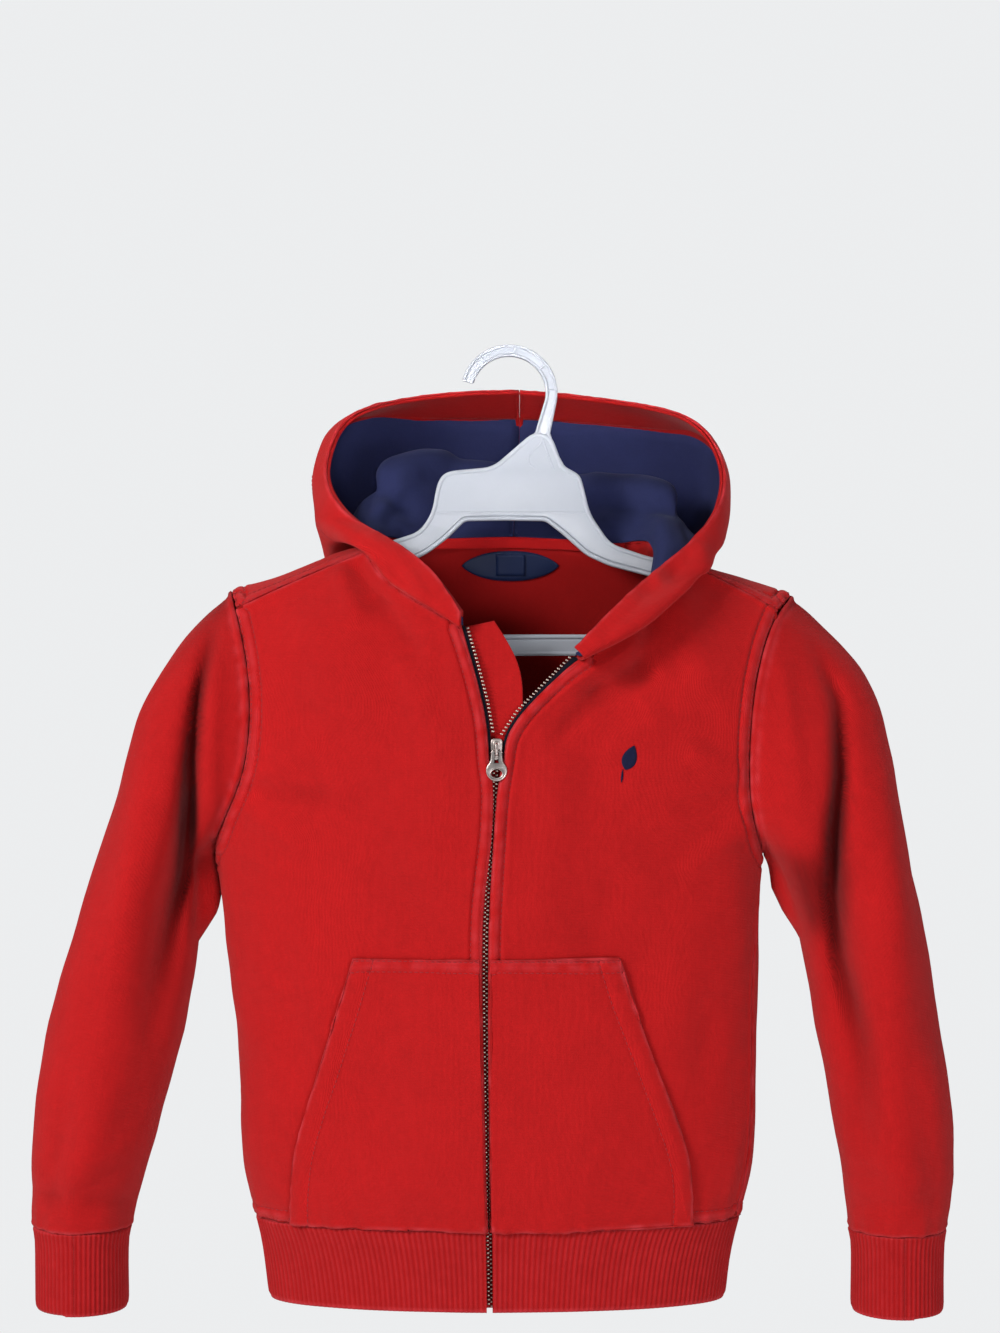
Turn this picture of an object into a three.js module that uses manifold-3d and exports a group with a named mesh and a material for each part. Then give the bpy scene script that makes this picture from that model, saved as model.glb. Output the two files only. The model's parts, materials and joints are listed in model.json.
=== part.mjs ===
// A child's zip-front fleece hoodie, hanging on a plastic hanger. Millimetres, +Z up, the front faces -Y.
// The origin is the top of the hook's inside, where a rail or wall hook holds the hanger.
// Left and right are the viewer's: left is -X, which is the wearer's right.
import * as THREE from "three";
import Module from "manifold-3d";
import { mergeVertices } from "three/addons/utils/BufferGeometryUtils.js";

// Cloth
const FLEECE = 2.2; // body cloth
const RIB = 3.0; // doubled rib knit of waistband and cuffs
const JERSEY = 0.9; // hood lining
const LINING_GAP = 0.8; // between the hood's cloth and its lining
const FACING = 1.6; // turned-in edge of the hood
const SEAM_GAP = 0.3; // between any two pieces

// Body heights
const HEM_SEAM = -515;
const HEM = -565;
const YOKE_DROP = 110; // below the ridge, where the body reaches its full depth
const SECTION_POWER = 0.85; // under 1 makes a section squarer than an ellipse
const SHOULDER_SEAM_ANGLE = -30 * (Math.PI / 180); // the shoulder seam lies this far forward of the ridge
const SHOULDER_SEAM_SHARE = 0.88; // where the shoulder seam meets the armhole, from armpit 0 to ridge 1

// Mesh density
const LOWER_ROWS = 7;
const ARMHOLE_FRONT = 10;
const ARMHOLE_BACK = 12;
const SHOULDER_COLUMNS = 9;
const HALF_NECK_STEPS = 6; // back neck, HPS to centre

const table = (columns, ...rows) => rows.map((row) => Object.fromEntries(columns.map((c, i) => [c, row[i]])));
const lerp = (a, b, t) => a + (b - a) * t;
const clamp = (v, lo, hi) => Math.min(hi, Math.max(lo, v));
const smooth = (t) => clamp(t, 0, 1) ** 2 * (3 - 2 * clamp(t, 0, 1));
const vec = (x, y, z) => new THREE.Vector3(x, y, z);

// A smooth curve through one column of a table, read at a value of its first column.
function read(rows, column, at) {
  const key = Object.keys(rows[0])[0];
  const rising = rows[0][key] < rows[rows.length - 1][key];
  const r = rising ? rows : [...rows].reverse();
  const t = clamp(at, r[0][key], r[r.length - 1][key]);
  let i = 0;
  while (i < r.length - 2 && t > r[i + 1][key]) i++;
  const slope = (a, b) => (r[b][column] - r[a][column]) / (r[b][key] - r[a][key]);
  const tangent = (j) => (j === 0 ? slope(0, 1) : j === r.length - 1 ? slope(j - 1, j) : slope(j - 1, j + 1));
  const span = r[i + 1][key] - r[i][key];
  const s = (t - r[i][key]) / span;
  const m0 = tangent(i) * span;
  const m1 = tangent(i + 1) * span;
  const [p0, p1] = [r[i][column], r[i + 1][column]];
  return (2 * s ** 3 - 3 * s * s + 1) * p0 + (s ** 3 - 2 * s * s + s) * m0
    + (3 * s * s - 2 * s ** 3) * p1 + (s ** 3 - s * s) * m1;
}

// The body's outline from the front, and its depth in front of and behind the hanger.
const BODY = table(
  ["z", "left", "right", "front", "back"],
  [-90, -218, 204, 50, 50],
  [-150, -208, 194, 50, 50],
  [-200, -197, 183, 50, 50],
  [-245, -188, 168, 50, 51],
  [-275, -182, 157, 50, 52],
  [-300, -178, 148, 50, 53],
  [-340, -172, 145, 50, 54],
  [-387, -167, 144, 50, 54],
  [-440, -164, 144, 50, 53],
  [-490, -161, 141, 48, 51],
  [-515, -154, 134, 44, 46],
  [-530, -149, 129, 41, 43],
  [-565, -145, 125, 39, 41],
);

// The zip's line, and how far each front edge stands from it.
const ZIP = table(
  ["z", "x", "open"],
  [-565, -14, 1.0],
  [-450, -16, 1.4],
  [-379, -17, 2.0],
  [-345, -17, 2.2],
  [-318, -16, 2.0],
  [-288, -12.5, 0.9],
  [-240, -11, 0.9],
);

// Each armhole from the front, from the armpit up to the shoulder ridge.
const ARMHOLE = {
  left: table(
    ["share", "x", "z"],
    [0, -178.5, -292], [0.1, -171, -274], [0.25, -161, -252], [0.45, -156, -222],
    [0.65, -157, -189], [0.85, -164, -157], [1, -171, -137],
  ),
  right: table(
    ["share", "x", "z"],
    [0, 148.5, -298], [0.1, 143, -282], [0.25, 139, -260], [0.45, 139, -227],
    [0.65, 143, -192], [0.85, 154, -158], [1, 171, -137],
  ),
};

// The inner edge of each upper front: up the open zip, then along the neckline to the shoulder seam.
const FRONT_EDGE = {
  left: table(
    ["share", "x", "z"],
    [0, -13.9, -292], [0.2, -12.2, -256], [0.3, -14.9, -241.5], [0.4, -15.2, -225.5],
    [0.5, -18.4, -207], [0.6, -23.6, -187], [0.7, -30.5, -163], [0.8, -52, -149], [0.9, -74, -136], [1, -85, -118],
  ),
  right: table(
    ["share", "x", "z"],
    [0, -12.3, -298], [0.2, -9.6, -257], [0.3, -6.4, -241.5], [0.4, -5.2, -227],
    [0.5, 4.2, -213], [0.6, 19, -198], [0.7, 36, -181], [0.8, 60, -170], [0.9, 79, -145], [1, 85, -118],
  ),
};

// The seam round the back of the neck, from one shoulder seam to the other: angle is about the ridge.
const BACK_NECK = table(
  ["share", "x", "angle"],
  [0, -85, -30], [0.12, -80, 0], [0.27, -64, 20], [0.5, 0, 34], [0.73, 64, 20], [0.88, 80, 0], [1, 85, -30],
);

// Soft folds of the body: where each starts and ends from the front, its width and height.
const BODY_FOLDS = table(
  ["face", "x0", "z0", "x1", "z1", "width", "height"],
  ["front", -88, -135, -60, -215, 11, -5],
  ["front", -104, -140, -84, -230, 12, 3],
  ["front", 62, -190, 40, -270, 14, -3],
  ["front", -150, -280, -120, -380, 16, 3.5],
  ["front", 128, -290, 104, -400, 15, 3],
  ["front", -70, -300, -84, -470, 20, -2.5],
  ["front", 66, -330, 78, -480, 20, -2.5],
  ["back", -112, -250, -92, -470, 17, -6],
  ["back", 96, -240, 80, -480, 16, -6],
  ["back", -40, -270, -30, -500, 19, 4],
  ["back", 36, -300, 22, -500, 17, 3.5],
  ["back", -5, -250, -4, -470, 15, -4],
);

const SHOULDER_SLOPE = 0.348; // shoulder slope
const RIDGE_TOP = -79.5;
const RIDGE_TILT = 0.012; // the right shoulder hangs a little lower
const RIDGE_ROUND = 25;
const ridge = (x) => RIDGE_TOP - RIDGE_TILT * x - SHOULDER_SLOPE * Math.hypot(x, RIDGE_ROUND);

// Depth below the ridge against the angle about it: a quarter ellipse, then straight down.
const dropAt = (angle) => {
  const a = Math.abs(angle);
  return a < Math.PI / 2 ? YOKE_DROP * (1 - Math.cos(a)) : YOKE_DROP * (1 + a - Math.PI / 2);
};
const angleAt = (drop) =>
  drop < YOKE_DROP ? Math.acos(1 - Math.max(drop, 0) / YOKE_DROP) : Math.PI / 2 + (drop - YOKE_DROP) / YOKE_DROP;

function foldHeight(face, x, z) {
  let sum = 0;
  for (const f of BODY_FOLDS) {
    if (f.face !== face) continue;
    const [dx, dz] = [f.x1 - f.x0, f.z1 - f.z0];
    const length = Math.hypot(dx, dz);
    const along = ((x - f.x0) * dx + (z - f.z0) * dz) / length ** 2;
    const across = ((x - f.x0) * dz - (z - f.z0) * dx) / length;
    const fade = smooth((along + 0.15) / 0.35) * smooth((1.15 - along) / 0.35);
    sum += f.height * fade * Math.exp(-((across / f.width) ** 2));
  }
  return sum;
}

const centreAt = (z) => (read(BODY, "left", z) + read(BODY, "right", z)) / 2;
const halfWidthAt = (z) => (read(BODY, "right", z) - read(BODY, "left", z)) / 2;
const sideAngle = (x, z) => Math.asin(clamp((x - centreAt(z)) / halfWidthAt(z), -1, 1));

// The body's inner surface. turn goes round it, 0 at the front's middle and +-PI/2 at the sides;
// angle goes over the shoulder, negative in front, 0 on the ridge, past +-PI/2 where it hangs straight.
function bodyPoint(turn, z, reach = 1) {
  const c = Math.cos(turn);
  const face = c >= 0 ? "front" : "back";
  const x = centreAt(z) + halfWidthAt(z) * Math.sin(turn);
  const roundness = Math.abs(c) ** SECTION_POWER;
  const depth = (read(BODY, face, z) * roundness) * reach;
  const lift = foldHeight(face, x, z) * Math.min(1, roundness * 1.4) * reach;
  return vec(x, (c >= 0 ? -1 : 1) * (depth + lift), z);
}
function yokePoint(turn, angle) {
  let z = ridge(0) - dropAt(angle);
  let x = 0;
  for (let i = 0; i < 8; i++) {
    x = centreAt(z) + halfWidthAt(z) * Math.sin(turn);
    z = ridge(x) - dropAt(angle);
  }
  const reach = Math.abs(angle) < Math.PI / 2 ? Math.sin(Math.abs(angle)) : 1;
  return bodyPoint(angle < 0 ? turn : Math.PI - turn, z, reach);
}
// The normal of a surface that is a function of two numbers, pointing away from the hanger.
function normalOf(f, a, b, outward) {
  const e = 0.004;
  const n = f(a + e, b).sub(f(a - e, b)).cross(f(a, b + e).sub(f(a, b - e))).normalize();
  return n.dot(outward) < 0 ? n.negate() : n;
}
const awayFromRail = (p) => vec(p.x * 0.1, p.y, Math.max(0, p.z + 175) * 0.6 + 0.01);

function yokeNormal(turn, angle) {
  return normalOf(yokePoint, turn, angle, awayFromRail(yokePoint(turn, angle)));
}
const bodyByHeight = (turn, h) => bodyPoint(turn, h * 100);
function bodyNormal(turn, z) {
  const p = bodyPoint(turn, z);
  return normalOf(bodyByHeight, turn, z / 100, vec(p.x - centreAt(z), p.y, 0));
}

// A place on the front or back, given as seen from the front: {at, out}.
function onBody(face, x, z) {
  const turn = sideAngle(x, z);
  const angle = angleAt(ridge(x) - z) * (face === "front" ? -1 : 1);
  return { at: yokePoint(turn, angle), out: yokeNormal(turn, angle) };
}

// A grid of {at, out}, from a function of u across and v up.
function gridOf(columns, rows, place) {
  return Array.from({ length: rows.length }, (_, j) => columns.map((u) => place(u, rows[j])));
}
const steps = (n, from = 0, to = 1) => Array.from({ length: n + 1 }, (_, i) => lerp(from, to, i / n));

// Moves a grid's edge points inward, so that neighbouring pieces stay apart.
function trim(grid, edges = "lrbt", gap = SEAM_GAP / 2) {
  const [h, w] = [grid.length, grid[0].length];
  const moved = grid.map((row) => row.map((c) => ({ at: c.at.clone(), out: c.out })));
  const pull = (j, i, tj, ti) => {
    const step = grid[tj][ti].at.clone().sub(grid[j][i].at);
    if (step.length() > 1e-6) moved[j][i].at.add(step.setLength(gap));
  };
  for (let i = 0; i < w; i++) {
    if (edges.includes("b")) pull(0, i, 1, i);
    if (edges.includes("t")) pull(h - 1, i, h - 2, i);
  }
  for (let j = 0; j < h; j++) {
    if (edges.includes("l")) pull(j, 0, j, 1);
    if (edges.includes("r")) pull(j, w - 1, j, w - 2);
  }
  return moved;
}

// A closed wall from a grid, between two distances along its normals. ring joins the first and last columns.
function wall(grid, inner, outer, ring = false) {
  const [h, w] = [grid.length, grid[0].length];
  const points = [];
  for (const d of [outer, inner])
    for (const row of grid)
      for (const c of row) points.push(c.at.x + c.out.x * d, c.at.y + c.out.y * d, c.at.z + c.out.z * d);
  const id = (layer, j, i) => layer * h * w + j * w + (i % w);
  const faces = [];
  const quad = (a, b, c, d) => faces.push(a, b, c, a, c, d);
  const across = ring ? w : w - 1;
  for (let j = 0; j < h - 1; j++)
    for (let i = 0; i < across; i++) {
      quad(id(0, j, i), id(0, j, i + 1), id(0, j + 1, i + 1), id(0, j + 1, i));
      quad(id(1, j, i), id(1, j + 1, i), id(1, j + 1, i + 1), id(1, j, i + 1));
    }
  for (let i = 0; i < across; i++) {
    quad(id(0, 0, i), id(1, 0, i), id(1, 0, i + 1), id(0, 0, i + 1));
    quad(id(0, h - 1, i), id(0, h - 1, i + 1), id(1, h - 1, i + 1), id(1, h - 1, i));
  }
  if (!ring)
    for (let j = 0; j < h - 1; j++) {
      quad(id(0, j, 0), id(0, j + 1, 0), id(1, j + 1, 0), id(1, j, 0));
      quad(id(0, j, w - 1), id(1, j, w - 1), id(1, j + 1, w - 1), id(0, j + 1, w - 1));
    }
  return facingOut(new THREE.BufferGeometry()
    .setAttribute("position", new THREE.BufferAttribute(new Float32Array(points), 3))
    .setIndex(faces));
}

function signedVolume(geometry) {
  const p = geometry.getAttribute("position");
  const index = geometry.index.array;
  const at = (i) => vec(p.getX(index[i]), p.getY(index[i]), p.getZ(index[i]));
  let sum = 0;
  for (let i = 0; i < index.length; i += 3) sum += at(i).dot(at(i + 1).cross(at(i + 2)));
  return sum / 6;
}
function facingOut(geometry) {
  if (signedVolume(geometry) < 0) {
    const a = geometry.index.array;
    for (let i = 0; i < a.length; i += 3) [a[i + 1], a[i + 2]] = [a[i + 2], a[i + 1]];
  }
  geometry.computeVertexNormals();
  return geometry;
}

const hoodie = new THREE.Group();
const COLOURS = {
  red_fleece: ["#b3161b", 0.9, 0],
  red_rib: ["#a81419", 0.9, 0],
  navy_jersey: ["#1d2145", 0.85, 0],
  navy_tape: ["#14152a", 0.8, 0],
  zip_metal: ["#b09a7c", 0.4, 1],
  slider_metal: ["#55585c", 0.35, 1],
  white_plastic: ["#e3e8f2", 0.35, 0],
};
function add(name, geometry, finish, parent = hoodie) {
  const [color, roughness, metalness] = COLOURS[finish];
  const mesh = new THREE.Mesh(geometry, new THREE.MeshStandardMaterial({ color, roughness, metalness }));
  mesh.name = name;
  parent.add(mesh);
  return mesh;
}

// Sleeves: each ring is given by its outer and inner points from the front, its half depth, how far its middle
// bows towards the body, and the deep fold down its front inner side.
const SLEEVE_COLUMNS = ["share", "outerX", "outerZ", "innerX", "innerZ", "depth", "bow", "foldAt", "fold"];
const SLEEVE = {
  left: table(
    SLEEVE_COLUMNS,
    [0, -171, -137, -178.5, -292, 30, 18, 110, 0],
    [0.05, -187, -151, -184, -295, 35, 14, 110, 0],
    [0.11, -202, -173, -189, -299, 40, 9, 110, 5],
    [0.19, -218, -203, -191, -305, 43, 5, 112, 14],
    [0.29, -233, -243, -190, -317, 45, 2, 114, 23],
    [0.4, -246, -290, -189, -337, 45, 0, 118, 26],
    [0.52, -262, -340, -195, -366, 42, 0, 124, 16],
    [0.64, -277, -390, -199, -405, 39, 0, 128, 6],
    [0.78, -288, -445, -212, -452, 36, 0, 128, 3],
    [0.93, -291, -498, -226, -500, 32, 0, 128, 1],
    [1, -288, -521, -232, -522, 27, 0, 128, 0],
  ),
  right: table(
    SLEEVE_COLUMNS,
    [0, 171, -137, 148.5, -298, 30, -16, 95, 0],
    [0.05, 188, -151, 154, -301, 35, -13, 95, 0],
    [0.11, 203, -174, 159, -305, 40, -9, 95, 4],
    [0.19, 217, -205, 162, -312, 43, -5, 96, 12],
    [0.29, 227, -245, 166, -324, 45, -2, 100, 20],
    [0.4, 236, -292, 173, -345, 45, 0, 108, 24],
    [0.52, 246, -342, 179, -372, 42, 0, 120, 22],
    [0.64, 255, -392, 184, -408, 39, 0, 128, 14],
    [0.78, 262, -447, 192, -455, 36, 0, 130, 7],
    [0.93, 263, -500, 200, -502, 32, 0, 130, 2],
    [1, 259, -523, 203, -524, 27, 0, 130, 0],
  ),
};
const ARMHOLE_EASE = 0.3; // added to the seam gap round each armhole
const CUFF_LENGTH = 50;
const CUFF_EASE = 2.5; // how far the cuff draws the sleeve in
const FOLD_WIDTH = 0.36; // radians
const BACK_FOLD_SHARE = 0.5; // the fold on the sleeve's hidden back
const SLEEVE_SETTLE = 0.16; // share of the sleeve over which its head leaves the armhole's own shape

// Round an armhole: half runs 0 to 1 up the front from the armpit, and 1 to 2 down the back.
function armholePoint(side, half) {
  const share = half <= 1 ? half : 2 - half;
  const x = read(ARMHOLE[side], "x", share);
  const z = read(ARMHOLE[side], "z", share);
  return { turn: sideAngle(x, z), angle: angleAt(ridge(x) - z) * (half <= 1 ? -1 : 1) };
}
function sleevePoint(side, half, share) {
  const get = (c) => read(SLEEVE[side], c, share);
  const outer = vec(get("outerX"), 0, get("outerZ"));
  const inner = vec(get("innerX"), 0, get("innerZ"));
  const theta = Math.PI * (1 - half); // PI at the armpit, PI/2 in front, 0 on top, -PI/2 behind
  const middle = outer.clone().add(inner).multiplyScalar(0.5);
  const reach = outer.clone().sub(inner).multiplyScalar(0.5);
  const p = middle.clone().addScaledVector(reach, Math.cos(theta));
  p.y = -get("depth") * Math.sin(theta);
  const bow = get("bow") * Math.sin(theta) ** 2;
  p.x += bow;
  const foldAt = (get("foldAt") * Math.PI) / 180;
  const dent = get("fold") * (Math.exp(-(((theta - foldAt) / FOLD_WIDTH) ** 2))
    + BACK_FOLD_SHARE * Math.exp(-(((theta + foldAt) / FOLD_WIDTH) ** 2)));
  p.addScaledVector(middle.clone().sub(p).setLength(1), dent);
  const hold = 1 - smooth(share / SLEEVE_SETTLE);
  if (hold > 0) {
    const a = armholePoint(side, half);
    const start = sleeveHead(side, half);
    p.addScaledVector(yokePoint(a.turn, a.angle).sub(start), hold);
  }
  return p;
}
// Where the table alone would put the sleeve's first ring.
function sleeveHead(side, half) {
  const row = SLEEVE[side][0];
  const theta = Math.PI * (1 - half);
  const p = vec(lerp(row.innerX, row.outerX, (1 + Math.cos(theta)) / 2) + row.bow * Math.sin(theta) ** 2,
    -row.depth * Math.sin(theta), lerp(row.innerZ, row.outerZ, (1 + Math.cos(theta)) / 2));
  return p;
}
function sleeveNormal(side, half, share) {
  const e = 0.01;
  const wrap = (h) => (h + 2) % 2;
  const round = sleevePoint(side, wrap(half + e), share).sub(sleevePoint(side, wrap(half - e), share));
  const a = clamp(share, 0, 1 - e);
  const down = sleevePoint(side, half, a + e).sub(sleevePoint(side, half, a));
  const n = round.cross(down).normalize();
  return side === "left" ? n : n.negate();
}

// The armhole's stations: up the front to the shoulder seam, then over the ridge and down the back.
const armholeStations = [
  ...steps(ARMHOLE_FRONT, 0, SHOULDER_SEAM_SHARE),
  ...steps(ARMHOLE_BACK - 1, 1, 2).slice(0, -1),
];
// Normals shared by sleeve and body along the armhole, so that their walls meet in a mitre.
const seamNormals = {};
for (const side of ["left", "right"])
  seamNormals[side] = armholeStations.map((half) => {
    const a = armholePoint(side, half);
    const body = half < 1e-6 || half > 2 - 1e-6
      ? vec(side === "left" ? -1 : 1, 0, 0) : yokeNormal(a.turn, a.angle);
    return body.add(sleeveNormal(side, half, 0)).normalize();
  });

const SLEEVE_RINGS = [0, 0.025, 0.06, 0.1, 0.15, 0.2, 0.26, 0.32, 0.39, 0.46, 0.54, 0.62, 0.71, 0.8, 0.89, 0.95, 1];
for (const side of ["left", "right"]) {
  const sleeve = gridOf(armholeStations, SLEEVE_RINGS, (half, share) => ({
    at: sleevePoint(side, half, share),
    out: share === 0 ? seamNormals[side][armholeStations.indexOf(half)] : sleeveNormal(side, half, share),
  }));
  add("sleeve_" + side, wall(trim(trim(sleeve, "bt"), "b", ARMHOLE_EASE), 0, FLEECE, true), "red_fleece");
  const last = SLEEVE[side][SLEEVE[side].length - 1];
  const middle = vec((last.outerX + last.innerX) / 2, 0, (last.outerZ + last.innerZ) / 2);
  const cuff = gridOf(armholeStations, [0, 0.12, 0.5, 1], (half, s) => {
    const p = sleevePoint(side, half, 1);
    const out = sleeveNormal(side, half, 1);
    const ease = CUFF_EASE * smooth(s / 0.12);
    p.addScaledVector(p.clone().sub(middle).setLength(1), -ease);
    p.z -= CUFF_LENGTH * s;
    return { at: p, out: s === 0 ? out : vec(out.x, out.y, 0).normalize() };
  });
  add("cuff_" + side, wall(trim(cuff, "b"), -0.2, RIB - 0.2, true), "red_rib");
}

// Body panels. Each upper part is a patch spanned by its four edges in the body's own (turn, angle).
const spread = (bottom, top, left, right) => (u, v) => {
  const mix = (k) => lerp(bottom(u)[k], top(u)[k], v) + lerp(left(v)[k], right(v)[k], u)
    - lerp(lerp(bottom(0)[k], bottom(1)[k], u), lerp(top(0)[k], top(1)[k], u), v);
  return [mix(0), mix(1)];
};
const asTurn = (x, z, sign) => [sideAngle(x, z), sign * angleAt(ridge(x) - z)];
const armpitZ = { left: ARMHOLE.left[0].z, right: ARMHOLE.right[0].z };
const SEAM_DRIFT = { left: -7 * (Math.PI / 180), right: -13 * (Math.PI / 180) }; // how far the side seams swing round
const sideSeamTurn = (side, z) =>
  (side === "left" ? -Math.PI / 2 : Math.PI / 2) + SEAM_DRIFT[side] * smooth((armpitZ[side] - z) / 70);
const zipEdgeX = (side, z) => read(ZIP, "x", z) + (side === "left" ? -1 : 1) * read(ZIP, "open", z);

const EDGE_COLUMNS = [0, 0.03, 0.06, 0.13, 0.21, 0.3, 0.39, 0.49, 0.59, 0.69, 0.79, 0.9, 1];
const upperFront = {};
const frontPlace = {};
for (const side of ["left", "right"]) {
  const edge = FRONT_EDGE[side];
  const bottom = (u) => {
    const z = armpitZ[side];
    const from = sideAngle(zipEdgeX(side, z), z);
    const turn = lerp(from, side === "left" ? -Math.PI / 2 : Math.PI / 2, u);
    const x = centreAt(z) + halfWidthAt(z) * Math.sin(turn);
    return [turn, -angleAt(ridge(x) - z)];
  };
  const outer = (v) => {
    const a = armholePoint(side, v * SHOULDER_SEAM_SHARE);
    return [a.turn, a.angle];
  };
  const inner = (v) => (v === 0 ? bottom(0) : asTurn(read(edge, "x", v), read(edge, "z", v), -1));
  const top = (u) => {
    const [a, b] = [inner(1), outer(1)];
    return [lerp(a[0], b[0], u), lerp(a[1], b[1], u)];
  };
  upperFront[side] = spread(bottom, top, inner, outer);
  const lower = (u, v) => {
    const z = lerp(armpitZ[side], HEM_SEAM, -v);
    const turn = lerp(sideAngle(zipEdgeX(side, z), z), sideSeamTurn(side, z), u);
    return { at: bodyPoint(turn, z), out: bodyNormal(turn, z) };
  };
  frontPlace[side] = (u, v) => {
    if (v < 0) return lower(u, v);
    const [turn, angle] = upperFront[side](u, v);
    const p = { at: yokePoint(turn, angle), out: yokeNormal(turn, angle) };
    if (u === 1) p.out = seamNormals[side][Math.round(v * ARMHOLE_FRONT)];
    return p;
  };
}
const frontRows = [...steps(LOWER_ROWS, -1, 0).slice(0, -1), ...steps(ARMHOLE_FRONT)];

// The back comes over the shoulders to the seams in front of the ridge.
const shoulderSeam = {};
for (const side of ["left", "right"])
  shoulderSeam[side] = (s) => upperFront[side](s, 1);
const neckPoint = (share) => {
  const x = read(BACK_NECK, "x", share);
  const angle = (read(BACK_NECK, "angle", share) * Math.PI) / 180;
  return [sideAngle(x, ridge(x) - dropAt(angle)), angle];
};
const backColumns = [
  ...steps(SHOULDER_COLUMNS, 0, 1 / 3),
  ...steps(HALF_NECK_STEPS * 2, 1 / 3, 2 / 3).slice(1),
  ...steps(SHOULDER_COLUMNS, 2 / 3, 1).slice(1),
];
const nearNeck = (a, b, t) => [lerp(a[0], b[0], t), lerp(a[1], b[1], t)];
const hps = { left: upperFront.left(0, 1), right: upperFront.right(0, 1) };
const backTop = (u) => {
  if (u <= 1 / 3) return shoulderSeam.left(1 - u * 3);
  if (u >= 2 / 3) return shoulderSeam.right(u * 3 - 2);
  const share = u * 3 - 1;
  const n = neckPoint(share);
  const fix = nearNeck([hps.left[0] - neckPoint(0)[0], hps.left[1] - neckPoint(0)[1]],
    [hps.right[0] - neckPoint(1)[0], hps.right[1] - neckPoint(1)[1]], share);
  const near = Math.max(0, 1 - Math.min(share, 1 - share) / 0.12);
  return [n[0] + fix[0] * near, n[1] + fix[1] * near];
};
const backTurn = (u, z) => {
  const from = sideSeamTurn("left", z);
  const to = sideSeamTurn("right", z) - 2 * Math.PI;
  return lerp(from, to, u);
};
const backBottom = (u) => {
  const z = lerp(armpitZ.left, armpitZ.right, u);
  const turn = Math.PI - (backTurn(u, z) + 2 * Math.PI);
  const x = centreAt(z) + halfWidthAt(z) * Math.sin(turn);
  return [turn, angleAt(ridge(x) - z)];
};
const RIDGE_ROW = (ARMHOLE_BACK - 1) / ARMHOLE_BACK;
const backHalf = (v) => (v < RIDGE_ROW ? lerp(2, 1, v / RIDGE_ROW)
  : lerp(1, SHOULDER_SEAM_SHARE, (v - RIDGE_ROW) * ARMHOLE_BACK));
const backEdge = (side) => (v) => {
  if (v === 0) return backBottom(side === "left" ? 0 : 1);
  const a = armholePoint(side, backHalf(v));
  return [a.turn, a.angle];
};
const upperBack = spread(backBottom, backTop, backEdge("left"), backEdge("right"));
function backPlace(u, v) {
  if (v < 0) {
    const z = lerp(lerp(armpitZ.left, armpitZ.right, u), HEM_SEAM, -v);
    return { at: bodyPoint(backTurn(u, z), z), out: bodyNormal(backTurn(u, z), z) };
  }
  const [turn, angle] = upperBack(u, v);
  const p = { at: yokePoint(turn, angle), out: yokeNormal(turn, angle) };
  if (u === 0 || u === 1) {
    const station = Math.round(v * ARMHOLE_BACK);
    const normals = seamNormals[u === 0 ? "left" : "right"];
    p.out = normals[station === 0 ? 0 : armholeStations.length - station];
  }
  return p;
}
const backRows = [...steps(LOWER_ROWS, -1, 0).slice(0, -1), ...steps(ARMHOLE_BACK)];

// The neck seam, from the front's left corner round the back to its right corner: {at, out} with out the body's.
const NECK_ROWS = [0.7, 0.8, 0.9, 1];
const neckSeam = [
  ...NECK_ROWS.map((v) => frontPlace.left(0, v)),
  ...steps(HALF_NECK_STEPS * 2, 1 / 3, 2 / 3).slice(1, -1).map((u) => backPlace(u, 1)),
  ...[...NECK_ROWS].reverse().map((v) => frontPlace.right(0, v)),
];
const FRONT_NECK_SHARE = 0.22; // of the hood's rim, that lies in front of each shoulder seam
const neckShares = [
  ...steps(3, 0, FRONT_NECK_SHARE),
  ...steps(HALF_NECK_STEPS * 2, FRONT_NECK_SHARE, 1 - FRONT_NECK_SHARE).slice(1, -1),
  ...steps(3, 1 - FRONT_NECK_SHARE, 1),
];
// Each step of the neck seam is halved for the hood.
const doubled = (list, mid) => list.flatMap((p, i) => (i ? [mid(list[i - 1], p), p] : [p]));
const hoodShares = doubled(neckShares, (a, b) => (a + b) / 2);
const neckPoints = doubled(neckSeam.map((p) => p.at), (a, b) => a.clone().lerp(b, 0.5));

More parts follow.
